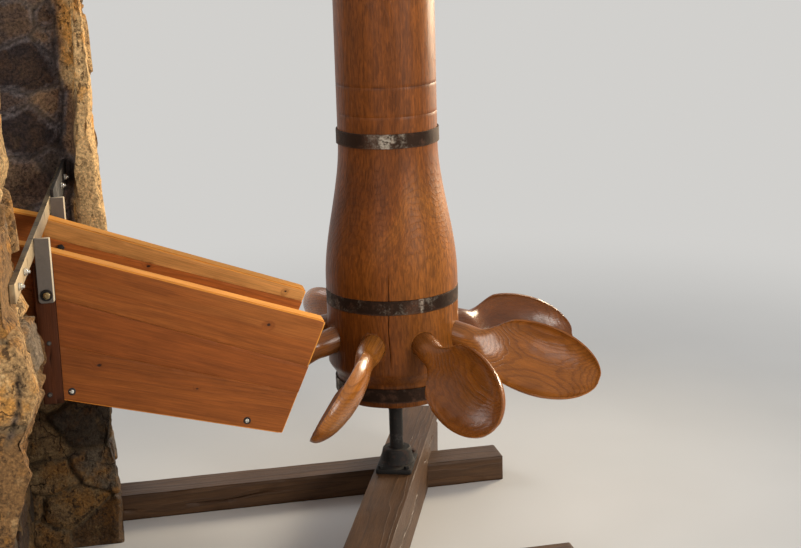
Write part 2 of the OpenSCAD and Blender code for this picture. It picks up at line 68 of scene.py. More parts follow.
# Trunk and hoops
SHAFT_R = 0.1395
HUB_R = 0.188
FOOT_R = 0.166
TRUNK_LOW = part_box("shaft_trunk")[0].z
TRUNK_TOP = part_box("shaft_trunk")[1].z
HUB_LOW = 0.500
FOOT_SHOULDER = 0.030
FLARE_LOW = 0.745
FLARE_TOP = 1.135
HOOP_H = 0.040
HOOP_T = 0.005
HOOP_REBATE = 0.004
HUB_SEAT_R = HUB_R - HOOP_REBATE
HOOP_LOW = {name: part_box(name)[0].z for name in ("hoop_upper", "hoop_lower", "hoop_foot", "hoop_top")}
HOOP_SEAT = {"hoop_upper": SHAFT_R, "hoop_lower": HUB_SEAT_R, "hoop_foot": FOOT_R, "hoop_top": SHAFT_R}
SCRIBES = (1.22, 1.30)

# Drying cracks of the trunk: azimuth from -Y in degrees, lower and upper end, width, depth.
CHECKS = [(-15, 0.50, 0.83, 0.0015, 0.004), (96, 1.18, 1.80, 0.0036, 0.016),
          (140, 0.42, 1.02, 0.0030, 0.012), (188, 0.90, 1.80, 0.0040, 0.018),
          (236, 0.55, 1.10, 0.0030, 0.010), (242, 1.25, 1.80, 0.0035, 0.014)]

# Blades
BLADES = 8
BLADE_TURN = math.radians(-30.0)
WHEEL_R = 0.600
NECK_Z = 0.585
NECK_R = 0.036
DROOP = math.radians(15.5)
BOWL_LEAN = math.radians(34.0)
BOWL_HALF_W = 0.104
BOWL_DEPTH = 0.044
BOWL_WALL = 0.020
BOWL_START = 0.040
BOWL_BLEND = 0.130
BOWL_FRONT = 0.022
RIM_LIP = 0.005
TIP_HALF_W = 0.014
TENON_R = 0.025
TENON_LEN = 0.085
SHOULDER_IN = NECK_R * math.tan(DROOP) + HUB_R - math.sqrt(HUB_R ** 2 - NECK_R ** 2) + 0.002
SHOULDER_R = HUB_R - SHOULDER_IN
SHOULDER_Z = NECK_Z + SHOULDER_IN * math.tan(DROOP)
BLADE_LEN = (WHEEL_R - SHOULDER_R) / math.cos(DROOP)

# Chute and feed trough
CHUTE_Y = -0.532
BOARD_T = 0.045
FLOOR_T = 0.036
OUTLET_GAP = 0.248
INLET_GAP = 0.300
OUTLET_TOP = (-0.304, 0.834)
OUTLET_LOW = (-0.424, 0.565)
JOINT_X = -0.947
JOINT_GAP = 0.0005
LOW_SLOPE = 0.283
TOP_SLOPE = 0.363
FEED_END_X = -1.400
OUTLET_ROUND = 0.010

# Hanger
STRAP_BEVEL = 0.003
STRAP_CORNER = 0.008
STRAP_BOLT_UP = 0.019
BATTEN_CHAMFER = 0.003
BAR_TOP = 1.099
BAR_H = 0.040
BAR_T = 0.012
BAR_TURN = math.radians(4.35)
BAR_NEAR_Y = -1.160
BAR_FAR_Y = 0.120
BAR_LEN = (BAR_FAR_Y - BAR_NEAR_Y) / math.cos(BAR_TURN)
BAR_FACE = (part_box("strap_near")[0].x - FIT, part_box("strap_near")[1].y)
BRACKET_H = 0.070
BRACKET_T = 0.008
BRACKET_LAP = 0.400
BRACKET_IN = 0.120
WALL_BOLTS = (0.060, 0.180)
FAR_BOLTS = (BAR_LEN - 0.050, BAR_LEN - 0.170)

# Ground timbers and footstep
SOLE_W = 0.120
SOLE_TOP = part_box("sole_beam")[1].z
SOLE_FRONT = 0.740
SOLE_BACK = 0.520
SOLE_TURN = math.radians(20.0)
FOOTSTEP_R = 0.052
FOOTSTEP_H = 0.056

# Rubble wall: each jamb's face towards the wheel, as its place along X at heights.
WALL_BACK = -1.400
WALL_NEAR_Y = -1.300
OPENING = (-0.830, 0.040)
WALL_FAR_Y = 0.460
NEAR_FACE = [(-1.035, 0), (-1.048, 0.42), (-1.030, 0.59), (-1.000, 0.72), (-0.952, 0.85),
             (-0.958, 0.90), (-0.975, 0.968), (-1.000, 1.043), (-0.989, 1.11), (-0.994, 1.19),
             (-1.003, 1.248), (-0.993, 1.285), (-1.005, 1.34), (-0.998, 1.62)]
REAR_FACE = [(-0.802, 0), (-0.810, 0.32), (-0.790, 0.60), (-0.789, 0.945), (-0.796, 1.04),
             (-0.791, 1.12), (-0.803, 1.19), (-0.792, 1.315), (-0.798, 1.62)]

# How far the stones at the near jamb's front corner reach towards the wheel, at heights.
NEAR_CORNER = [(-0.90, 0.560), (-1.024, 0.606), (-1.018, 0.652), (-1.006, 0.703), (-0.989, 0.747),
               (-0.997, 0.781), (-1.006, 0.815), (-0.987, 0.855), (-0.967, 0.910), (-0.941, 0.978),
               (-0.90, 1.010)]
CORNER_FALL = 0.37

# A crack down the near jamb's front: its places along X, at heights.
NEAR_CRACK = [(-1.030, 0.800), (-1.014, 0.844), (-1.004, 0.885), (-0.995, 0.931), (-0.990, 0.965)]

# The recess behind the rear jamb's corner: its depth along Y, its floor and its edge by height.
RECESS_FAR_Y = 0.150
RECESS_LOW = OUTLET_LOW[1] + LOW_SLOPE * (OUTLET_LOW[0] - WALL_BACK)
RECESS_EDGE = [(-0.860, 0.84), (-0.860, 0.984), (-0.862, 1.019), (-0.870, 1.049), (-0.871, 1.087),
               (-0.864, 1.145), (-0.867, 1.183), (-0.864, 1.217), (-0.851, 1.311), (-0.856, 1.62)]

# Where the painted shade of the recess ends on the jamb's corner, at heights.
PAINTED_SHADE_EDGE = [(-0.862, 1.040), (-0.851, 1.160), (-0.842, 1.255), (-0.850, 1.300), (-0.864, 1.340)]

SILL_FRONT = -1.050
SILL_STEP_X = -1.160
SILL_STEP_Z = 0.380

# Stones: distance between the middles of two of middling size, how much wider than high they
# are, the depth of the mortar, and how far a stone may stand in front of the wall's face.
STONE_GAP = 0.185
STONE_FLAT = 1.7
MORTAR_DEPTH = 0.024
STONE_PROUD = 0.004

# The wall is darker and glossier up to a height, but not on its back or its near front: damp from the wheel's
# splash, with painted shade low on the wall.
WET_SHADE_TOP = 0.600
WET_SHADE_BACK = -1.250
WET_SHADE_FRONT = -1.270



# Noise and small helpers

def hash01(ix, iy, iz, seed):
    """A steady random number from 0 to 1 for each lattice point."""
    h = ix * 374761393 + iy * 668265263 + iz * 2147483647 + seed * 974634777
    h &= 0xFFFFFFFF
    for shift, factor in ((13, 1274126177), (16, 2246822519)):
        h = ((h ^ (h >> shift)) * factor) & 0xFFFFFFFF
    return ((h ^ (h >> 15)) & 0xFFFFFF) / float(0xFFFFFF)


def noise(p, size, seed=0):
    """Smooth noise from -1 to 1 at points p, with features of about that size."""
    q = np.asarray(p, float) / size
    i = np.floor(q)
    f = q - i
    f = f * f * f * (f * (f * 6 - 15) + 10)
    i = i.astype(np.int64)
    total = 0
    for corner in np.ndindex(2, 2, 2):
        x, y, z = (f[:, k] if corner[k] else 1 - f[:, k] for k in range(3))
        total = total + x * y * z * hash01(*(i + corner).T, seed)
    return total * 2 - 1


def fbm(p, size, octaves=3, seed=0):
    """Noise with finer and weaker layers added."""
    total = sum(noise(p, size / 2 ** k, seed + 17 * k) / 2 ** k for k in range(octaves))
    return total / (2 - 2 ** (1 - octaves))


def smooth(t):
    t = np.clip(t, 0, 1)
    return t * t * (3 - 2 * t)


def mix(a, b, t):
    return a + (b - a) * t


def unit(v):
    """Each vector of an array at length 1."""
    v = np.asarray(v, float)
    return v / np.maximum(np.linalg.norm(v, axis=-1, keepdims=True), 1e-9)


def spans(values, step):
    """Evenly spaced places between each pair of values, both ends kept."""
    out = [values[0]]
    for a, b in zip(values[:-1], values[1:]):
        n = max(1, math.ceil((b - a) / step - 1e-6))
        out += [a + (b - a) * (k + 1) / n for k in range(n)]
    return np.array(out)


def polar(heading, r, z):
    return math.cos(heading) * r, math.sin(heading) * r, z


def bearing(az):
    """The heading of an azimuth given in degrees from -Y."""
    return math.radians(az - 90)


def around(a, centre):
    """Angles a measured from centre, from -pi to pi."""
    return (a - centre + math.pi) % (2 * math.pi) - math.pi


def along_line(places, at):
    """The first column of a list of points at heights or distances of its second column."""
    value, key = np.array(places).T
    return np.interp(at, key, value)


def ring_quads(rows, cols):
    """Faces of a grid of closed rings."""
    k = np.arange(cols)
    a = np.arange(rows - 1)[:, None] * cols + k
    b = a - k + (k + 1) % cols
    return np.stack([a, b, b + cols, a + cols], axis=-1).reshape(-1, 4).tolist()


def add_mesh(name, verts, faces, attributes=None, sharp=None):
    """A mesh object from arrays. attributes maps a name to one number or vector per point, and
    sharp is the angle in degrees from which an edge isn't shaded smooth."""
    me = bpy.data.meshes.new(name)
    me.from_pydata(np.asarray(verts, float).tolist(), [], [list(map(int, f)) for f in faces])
    for key, values in (attributes or {}).items():
        values = np.asarray(values, np.float32)
        vector = values.ndim == 2
        layer = me.attributes.new(key, "FLOAT_VECTOR" if vector else "FLOAT", "POINT")
        layer.data.foreach_set("vector" if vector else "value", values.ravel())
    me.validate()
    me.shade_smooth()
    if sharp is not None:
        me.set_sharp_from_angle(angle=math.radians(sharp))
    ob = bpy.data.objects.new(name, me)
    bpy.context.scene.collection.objects.link(ob)
    return ob


def dress(ob, finish, node=None, body="mill_frame"):
    """Puts a piece on its body with the material of its finish, in place of a CAD node."""
    slot, material = finish
    ob.data.materials.clear()
    ob.data.materials.append(material)
    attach(ob, body)
    if node:
        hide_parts(node)


def piece(name, shape, finish, node=None, body="mill_frame", sharp=40):
    dress(add_mesh(name, *shape, sharp=sharp), finish, node, body)


# Materials

EDGE_HIGHLIGHT_WOOD = (0.84, 0.34, 0.050)
RED_WOOD = (0.50, 0.118, 0.016)
KNOT = (0.030, 0.013, 0.007)
RUST = (0.16, 0.055, 0.016)
ZINC_EDGE_HIGHLIGHT = (0.80, 0.66, 0.45)
ZINC_TOP_SHADE = (0.040, 0.028, 0.020)
BROWN_STONE = (0.11, 0.050, 0.019)
STONE_DENT = (0.055, 0.028, 0.013)
PAINTED_SHADE_JOINT = (0.012, 0.009, 0.009)


class Shader:
    """A short way to write a node tree: each call adds a node and returns its output."""

    def __init__(self, name):
        self.mat = bpy.data.materials.new(name)
        self.mat.use_nodes = True
        self.tree = self.mat.node_tree
        self.bsdf = self.tree.nodes["Principled BSDF"]
        self.out = self.tree.nodes["Material Output"]

    def put(self, socket, value):
        if isinstance(value, bpy.types.NodeSocket):
            self.tree.links.new(value, socket)
        else:
            socket.default_value = value

    def node(self, kind, inputs=None, **props):
        n = self.tree.nodes.new("ShaderNode" + kind)
        for key, value in props.items():
            setattr(n, key, value)
        for key, value in (inputs or {}).items():
            self.put(n.inputs[key], value)
        return n.outputs

    def attribute(self, name, output="Fac"):
        return self.node("Attribute", attribute_name=name)[output]

    def place(self):
        return self.node("TexCoord")["Object"]

    def math(self, operation, a, b=0.0, clamp=False):
        return self.node("Math", {0: a, 1: b}, operation=operation, use_clamp=clamp)[0]

    def times(self, a, b):
        return self.math("MULTIPLY", a, b)

    def plus(self, a, b):
        return self.math("ADD", a, b)

    def larger(self, a, b):
        return self.math("MAXIMUM", a, b)

    def mean(self, a, b):
        return self.plus(self.times(a, 0.5), self.times(b, 0.5))

    def vector(self, operation, a, b=(0, 0, 0), output=0):
        return self.node("VectorMath", {0: a, 1: b}, operation=operation)[output]

    def scaled(self, a, b):
        return self.vector("MULTIPLY", a, b)

    def length(self, a):
        return self.vector("LENGTH", a, output="Value")

    def z_of(self, a):
        return self.node("SeparateXYZ", {0: a})["Z"]

    def noise(self, vector, scale, detail=2.0, roughness=0.5, distortion=0.0, output="Fac"):
        """Noise; scale is one number, or one for each axis."""
        if isinstance(scale, tuple):
            vector, scale = self.scaled(vector, scale), 1.0
        return self.node("TexNoise", {"Vector": vector, "Scale": scale, "Detail": detail,
                                      "Roughness": roughness, "Distortion": distortion})[output]

    def voronoi(self, vector, scale, feature="F1", output="Distance"):
        return self.node("TexVoronoi", {"Vector": vector, "Scale": scale}, feature=feature)[output]

    def warped(self, vector, scale, detail, amount):
        """Places shifted by a coloured noise."""
        shift = self.noise(vector, scale, detail, output="Color")
        return self.vector("ADD", vector, self.scaled(shift, (amount, amount, amount)))

    def ramp(self, fac, *stops):
        n = self.tree.nodes.new("ShaderNodeValToRGB")
        self.put(n.inputs["Fac"], fac)
        els = n.color_ramp.elements
        while len(els) < len(stops):
            els.new(0.5)
        for el, (at, colour) in zip(els, stops):
            el.position = at
            el.color = self.rgba(colour)
        return n.outputs["Color"]

    def range(self, value, a, b, c=0.0, d=1.0, kind="SMOOTHSTEP"):
        """c below a and d above b, with a smooth way between them."""
        return self.node("MapRange", {"Value": value, "From Min": a, "From Max": b, "To Min": c, "To Max": d},
                         interpolation_type=kind)["Result"]

    def line(self, value, c, d, a=0.0, b=1.0):
        """c below a and d above b, with a straight way between them."""
        return self.range(value, a, b, c, d, "LINEAR")

    def rgba(self, c):
        return c if isinstance(c, bpy.types.NodeSocket) or len(c) == 4 else (*c, 1.0)

    def blend(self, fac, a, b, mode="MIX"):
        n = self.tree.nodes.new("ShaderNodeMix")
        n.data_type = "RGBA"
        n.blend_type = mode
        n.clamp_factor = True
        for key, value in (("Factor", fac), ("A", self.rgba(a)), ("B", self.rgba(b))):
            self.put(n.inputs[key], value)
        return n.outputs["Result"]

    def shaded(self, colour, value):
        grey = self.node("CombineColor", {"Red": value, "Green": value, "Blue": value})["Color"]
        return self.blend(1.0, colour, grey, "MULTIPLY")

    def bump(self, height, distance, strength, normal=None):
        inputs = {"Height": height, "Distance": distance, "Strength": strength}
        if normal is not None:
            inputs["Normal"] = normal
        return self.node("Bump", inputs)["Normal"]

    def finish(self, colour, roughness, normal=None, metallic=0.0, **constants):
        inputs = {"Base Color": self.rgba(colour), "Roughness": roughness, "Metallic": metallic}
        if normal is not None:
            inputs["Normal"] = normal
        for key, value in {**inputs, **constants}.items():
            self.put(self.bsdf.inputs[key.replace("_", " ")], value)
        return self.mat


def wood(name, light, middle, dark, ring, contrast, rough, stain, stain_colour=(0.05, 0.022, 0.01),
         relief=1.0, coat=0.0, knots=(), fleck=0.0, shine=0.5):
    """Sawn or turned softwood. Year rings show where the surface cuts them, and fibres run
    along the log. knots are (place on the object, radius), fleck is how strongly short light
    and dark streaks show, and shine is the specular level. The attributes edge, blush, dirt and
    wet are 1 where a highlight is painted on arrises and upper edges, on redder boards, in dirt
    and where the wood is wet."""
    s = Shader(name)
    grain = s.attribute("grain", "Vector")
    wet = s.attribute("wet")
    drift = s.noise(grain, (9.0, 9.0, 1.3), 3.0, output="Color")
    drift = s.scaled(s.vector("SUBTRACT", drift, (0.5, 0.5, 0.5)), (0.045, 0.045, 0.0))
    across = s.length(s.scaled(s.vector("ADD", grain, drift), (1.0, 1.0, 0.0)))

    knot_edge = 0.006
    cores, halos = [], []
    place = s.place()
    ragged = s.times(s.noise(place, 90.0, 3.0), knot_edge)
    for centre, radius in knots:
        away = s.length(s.scaled(s.vector("SUBTRACT", place, centre), (0.72, 0.5, 1.0)))
        away = s.plus(away, ragged)
        cores.append(s.range(away, radius * 0.35 + knot_edge / 2, radius + knot_edge / 2, 1.0, 0.0))
        halos.append(s.range(away, radius * 0.6, radius * 4.5, 1.0, 0.0))
        across = s.plus(across, s.times(halos[-1], 0.011))

    uneven = s.noise(grain, (30.0, 30.0, 1.0))
    phase = s.math("FRACT", s.plus(s.times(across, 1.0 / ring), s.times(uneven, 1.2)))
    late = s.times(s.range(phase, 0.40, 0.90), s.range(phase, 0.93, 1.0, 1.0, 0.0))
    along = s.times(s.z_of(grain), 0.5)
    band = s.noise(s.node("CombineXYZ", {"X": s.times(across, 22.0), "Y": 0.0, "Z": along})[0], 1.0)
    fibre = s.noise(grain, (420.0, 420.0, 9.0), 3.0, 0.6)
    pore = s.noise(grain, (1000.0, 1000.0, 45.0), 2.0, 0.6)
    blotch = s.noise(grain, (9.0, 9.0, 3.2), 5.0, 0.62)
    cloud = s.noise(grain, (46.0, 46.0, 7.0), 4.0, 0.65)

    level = s.plus(s.times(band, 0.60), s.times(s.attribute("tone"), 0.42))
    colour = s.ramp(level, (0.22, light), (0.50, middle), (0.80, dark))
    colour = s.blend(s.times(s.attribute("blush"), s.range(band, 0.3, 0.6, 0.7)), colour, RED_WOOD)
    colour = s.blend(s.times(late, contrast), colour, dark)
    shade = s.times(s.range(fibre, 0.34, 0.68, 0.84, 1.12), s.range(cloud, 0.36, 0.66, 0.88, 1.08))
    shade = s.times(shade, s.range(pore, 0.56, 0.74, 1.0, 0.78))
    if fleck:
        flecks = s.noise(grain, (150.0, 150.0, 30.0), 3.0, 0.55, 0.8)
        shade = s.times(shade, s.range(flecks, 0.36, 0.64, 1 - fleck, 1 + fleck))
    colour = s.shaded(colour, shade)
    colour = s.blend(s.times(s.range(blotch, 0.50, 0.74), stain), colour, stain_colour)
    for core, halo in zip(cores, halos):
        colour = s.blend(s.times(halo, 0.40), colour, dark)
        colour = s.blend(core, colour, KNOT)
    # A highlight painted along the arrises and upper edges.
    colour = s.blend(s.times(s.attribute("edge"), s.range(cloud, 0.34, 0.62, 0.75)), colour, EDGE_HIGHLIGHT_WOOD)
    colour = s.shaded(colour, s.line(wet, 1.0, 0.55))
    colour = s.blend(s.times(s.attribute("dirt"), 0.9), colour, stain_colour)

    matt = s.times(s.line(s.mean(pore, blotch), *rough, 0.3, 0.7), s.line(wet, 1.0, 0.5))
    height = s.mean(late, fibre)
    for core in cores:
        height = s.math("SUBTRACT", height, core)
    normal = s.bump(pore, 0.0002 * relief, 0.5, s.bump(height, 0.0006 * relief, 0.8))
    return s.finish(colour, matt, normal, Coat_Weight=coat, Coat_Roughness=0.18, Specular_IOR_Level=shine)


def iron(name, dark, worn, rust):
    """Forged iron: dark scale with rubbed places and a little rust. The attributes worn and
    rust add silvery and brown places of their own; on the upper and lower hoop the silvery
    place is partly a painted highlight."""
    s = Shader(name)
    place = s.place()
    wear = s.noise(place, 9.0, 6.0, 0.62)
    fine = s.noise(place, 160.0, 4.0, 0.6)
    ragged = s.plus(s.times(wear, 0.6), s.times(fine, 0.6))
    streaks = s.noise(place, (60.0, 60.0, 170.0), 4.0, 0.65)
    rubbed = s.times(s.attribute("worn"), s.range(s.plus(ragged, streaks), 0.92, 1.26))
    bare = s.larger(s.range(s.plus(wear, s.times(fine, 0.25)), 0.66, 0.92), rubbed)
    rusty = s.times(s.range(s.noise(place, 34.0, 5.0, 0.65), 0.5, 0.72), rust)
    rusty = s.larger(rusty, s.times(s.attribute("rust"), s.range(ragged, 0.44, 0.66, 0.9, 0.3)))
    colour = s.blend(rusty, s.blend(bare, dark, worn), RUST)
    matt = s.math("ADD", s.line(bare, 0.7, 0.35), s.times(rusty, 0.3), True)
    normal = s.bump(s.voronoi(place, 240.0), 0.0005, 0.3, s.bump(fine, 0.0006, 0.6))
    return s.finish(colour, matt, normal, s.line(rusty, 0.9, 0.15, 0.0, 0.5))


def zinc(name, base, dark, rough, spots=0.7, painted_top_shade=0.0, metallic=0.85):
    """Galvanised steel with dull patches, stains and scratches, and painted shade on faces that look up.
    The attribute edge is 1 where a highlight is painted on."""
    s = Shader(name)
    place = s.place()
    spangle = s.node("SeparateColor", {0: s.voronoi(place, 130.0, output="Color")})["Red"]
    stain = s.noise(place, 26.0, 5.0, 0.6)
    scratch = s.noise(place, (60.0, 60.0, 900.0))
    colour = s.blend(s.times(spangle, 0.18), base, dark)
    colour = s.blend(s.range(stain, 0.5, 0.75, 0.0, spots), colour, dark)
    # A highlight painted where edge is 1.
    colour = s.blend(s.attribute("edge"), colour, ZINC_EDGE_HIGHLIGHT)
    # Faces that look up are painted darker, as shade.
    if painted_top_shade:
        facing = s.z_of(s.node("NewGeometry")["Normal"])
        top_shade = s.range(stain, 0.3, 0.6, painted_top_shade, 0.6 * painted_top_shade)
        colour = s.blend(s.times(s.range(facing, 0.6, 0.9), top_shade), colour, ZINC_TOP_SHADE)
    matt = s.line(s.mean(scratch, stain), *rough, 0.3, 0.7)
    return s.finish(colour, matt, s.bump(scratch, 0.0001, 0.4), metallic)


def rubble(name):
    """Rough building stone with sandy mortar. The attributes tone and hue differ by stone, joint
    is 1 in mortar, smear is 1 near it, soot where shade is painted on the wall as a
    blackish colour, and damp where the wall is wet and painted darker as shade."""
    s = Shader(name)
    place = s.place()
    tone, hue, joint, damp = (s.attribute(key) for key in ("tone", "hue", "joint", "damp"))
    speck = s.noise(place, 130.0, 5.0, 0.7)
    sand = s.noise(place, 300.0, 4.0, 0.7)
    granule = s.voronoi(s.warped(place, 60.0, 2.0, 0.01), 135.0)

    warm = s.ramp(tone, (0.0, (0.14, 0.064, 0.022)), (0.35, (0.24, 0.122, 0.043)),
                  (0.65, (0.36, 0.200, 0.078)), (1.0, (0.74, 0.470, 0.210)))
    cool = s.ramp(tone, (0.0, (0.12, 0.082, 0.052)), (0.5, (0.23, 0.165, 0.105)), (1.0, (0.36, 0.27, 0.175)))
    colour = s.blend(s.range(hue, 0.70, 0.84), warm, cool)
    ochre = s.ramp(tone, (0.1, (0.22, 0.088, 0.016)), (1.0, (0.76, 0.340, 0.066)))
    colour = s.blend(s.range(s.noise(place, 9.0, 6.0, 0.65), 0.50, 0.66, 0.0, 0.85), colour, ochre)
    pale = s.ramp(tone, (0.1, (0.30, 0.165, 0.062)), (1.0, (0.84, 0.580, 0.280)))
    patches = s.noise(s.scaled(place, (1.0, 1.0, 0.6)), 21.0, 6.0, 0.7)
    colour = s.blend(s.range(patches, 0.54, 0.68, 0.0, 0.75), colour, pale)
    brown = s.range(s.noise(place, 30.0, 5.0, 0.7), 0.54, 0.66, 0.0, 0.7)
    colour = s.blend(s.times(brown, s.range(tone, 0.6, 1.0, 1.0, 0.45)), colour, BROWN_STONE)
    colour = s.shaded(colour, s.range(speck, 0.32, 0.68, 0.52, 1.38))
    colour = s.shaded(colour, s.range(granule, 0.1, 0.6, 1.06, 0.88))
    mortar = s.ramp(sand, (0.3, (0.18, 0.118, 0.058)), (0.7, (0.34, 0.235, 0.125)))
    colour = s.blend(s.times(joint, 0.9), colour, mortar)

    warp = s.warped(place, 14.0, 4.0, 0.10)
    cracks = s.range(s.voronoi(warp, 5.5, "DISTANCE_TO_EDGE"), 0.0, 0.016, 1.0, 0.0)
    cracks = s.times(cracks, s.range(s.noise(place, 7.0, 3.0), 0.48, 0.58))
    holes = s.range(s.voronoi(warp, 38.0), 0.06, 0.22, 1.0, 0.0)
    holes = s.times(holes, s.range(s.noise(place, 16.0, 3.0), 0.48, 0.60))
    pits = s.range(s.noise(s.scaled(place, (1.0, 1.0, 0.75)), 62.0, 4.0, 0.62), 0.565, 0.640)
    pits = s.times(pits, s.range(s.noise(place, 9.0, 3.0), 0.38, 0.54, 0.40))
    # Cracks, holes and pits are painted dark, as the shade in them.
    dents = s.larger(s.larger(cracks, holes), s.times(pits, 0.9))
    colour = s.blend(s.times(dents, 0.85), colour, STONE_DENT)

    # Painted shade: a blackish colour for the recess and the crack, lighter in smears near the joints.
    painted_shade_colour = s.ramp(tone, (0.2, (0.022, 0.015, 0.015)), (0.6, (0.062, 0.040, 0.032)),
                   (1.0, (0.160, 0.085, 0.048)))
    painted_shade_colour = s.shaded(painted_shade_colour, s.range(speck, 0.34, 0.66, 0.35, 1.6))
    smear = s.times(s.attribute("smear"), s.range(s.noise(place, 9.0, 4.0, 0.6), 0.40, 0.60, 0.35))
    painted_shade_colour = s.blend(smear, painted_shade_colour, s.ramp(speck, (0.3, (0.056, 0.046, 0.048)), (0.7, (0.230, 0.190, 0.182))))
    painted_shade_colour = s.blend(s.times(joint, 0.8), painted_shade_colour, PAINTED_SHADE_JOINT)
    soot = s.times(s.attribute("soot"), s.range(s.noise(place, 11.0, 4.0, 0.6), 0.42, 0.62, 0.97, 0.80))
    colour = s.shaded(s.blend(soot, colour, painted_shade_colour), s.line(damp, 1.0, 0.36))

    matt = s.times(s.line(speck, 0.80, 0.95, 0.3, 0.7), s.line(damp, 1.0, 0.6))
    skin = s.times(s.noise(place, 70.0, 6.0, 0.72), 1.2)
    height = s.math("SUBTRACT", s.plus(skin, s.times(granule, -0.35)), s.times(dents, 0.9))
    normal = s.bump(sand, 0.0016, 0.5, s.bump(height, 0.008, 0.8))
    return s.finish(colour, matt, normal, Specular_IOR_Level=0.25)


# Shapes: each returns its verts, faces and attributes, which join and piece take.

UP = (0, 0, 1)


def circle(sides):
    return np.linspace(0, 2 * math.pi, sides, endpoint=False)


def lathe(profile, angles, step):
    """Rings of a turned piece, with the radius and height of each ring."""
    r, z = np.array(profile, float).T
    way = np.concatenate([[0], np.cumsum(np.hypot(np.diff(r), np.diff(z)))])
    at = spans(list(way), step)
    rr, zz = np.interp(at, way, r)[:, None], np.interp(at, way, z)[:, None]
    grid = np.stack(np.broadcast_arrays(rr * np.cos(angles), rr * np.sin(angles), zz), axis=-1)
    return grid, rr[:, 0], zz[:, 0]


def close_grid(grid):
    """Verts and faces of a grid of rings, closed by a point in the middle of each end."""
    rows, cols = grid.shape[:2]
    verts = np.vstack([grid.reshape(-1, 3), grid[0].mean(0), grid[-1].mean(0)])
    faces = ring_quads(rows, cols)
    n = rows * cols
    faces += [((k + 1) % cols, k, n) for k in range(cols)]
    faces += [(n - cols + k, n - cols + (k + 1) % cols, n + 1) for k in range(cols)]
    return verts, faces


def closed(look):
    """Attributes of a closed grid, whose two end points take those of its first and last one."""
    return {key: np.append(values, [values[0], values[-1]]) for key, values in look.items()}


def rounded_loop(shares, edge_n, arc=3):
    """Places round a board's cross-section, starting up its outer face. Columns: share of the
    height, its offset in bevels, side of the thickness, its offset in bevels, the outward
    direction across and through the board, and 1 on a rounded edge."""
    bends = [(math.sin(a), math.cos(a)) for a in np.arange(1, arc + 1) * math.pi / 2 / (arc + 1)]
    steps = [1 - 2 * k / edge_n for k in range(edge_n + 1)]
    loop = [(f, 0, 1, 0, 0, 1, 0) for f in shares]
    loop += [(1, s, 1, c - 1, s, c, 1) for s, c in bends]
    loop += [(1, 1, t, 0, 1, 0, 0) for t in steps]
    loop += [(1, c, -1, 1 - s, c, -s, 1) for s, c in bends]
    loop += [(f, 0, -1, 0, 0, -1, 0) for f in shares[::-1]]
    loop += [(0, -s, -1, 1 - c, -s, -c, 1) for s, c in bends]
    loop += [(0, -1, -t, 0, -1, 0, 0) for t in steps]
    loop += [(0, -c, 1, s - 1, -c, s, 1) for s, c in bends]
    return np.array(loop, float)


# Bevels wider than this get a painted highlight, and are worn down fully.
WORN_HIGHLIT_BEVEL = 0.002


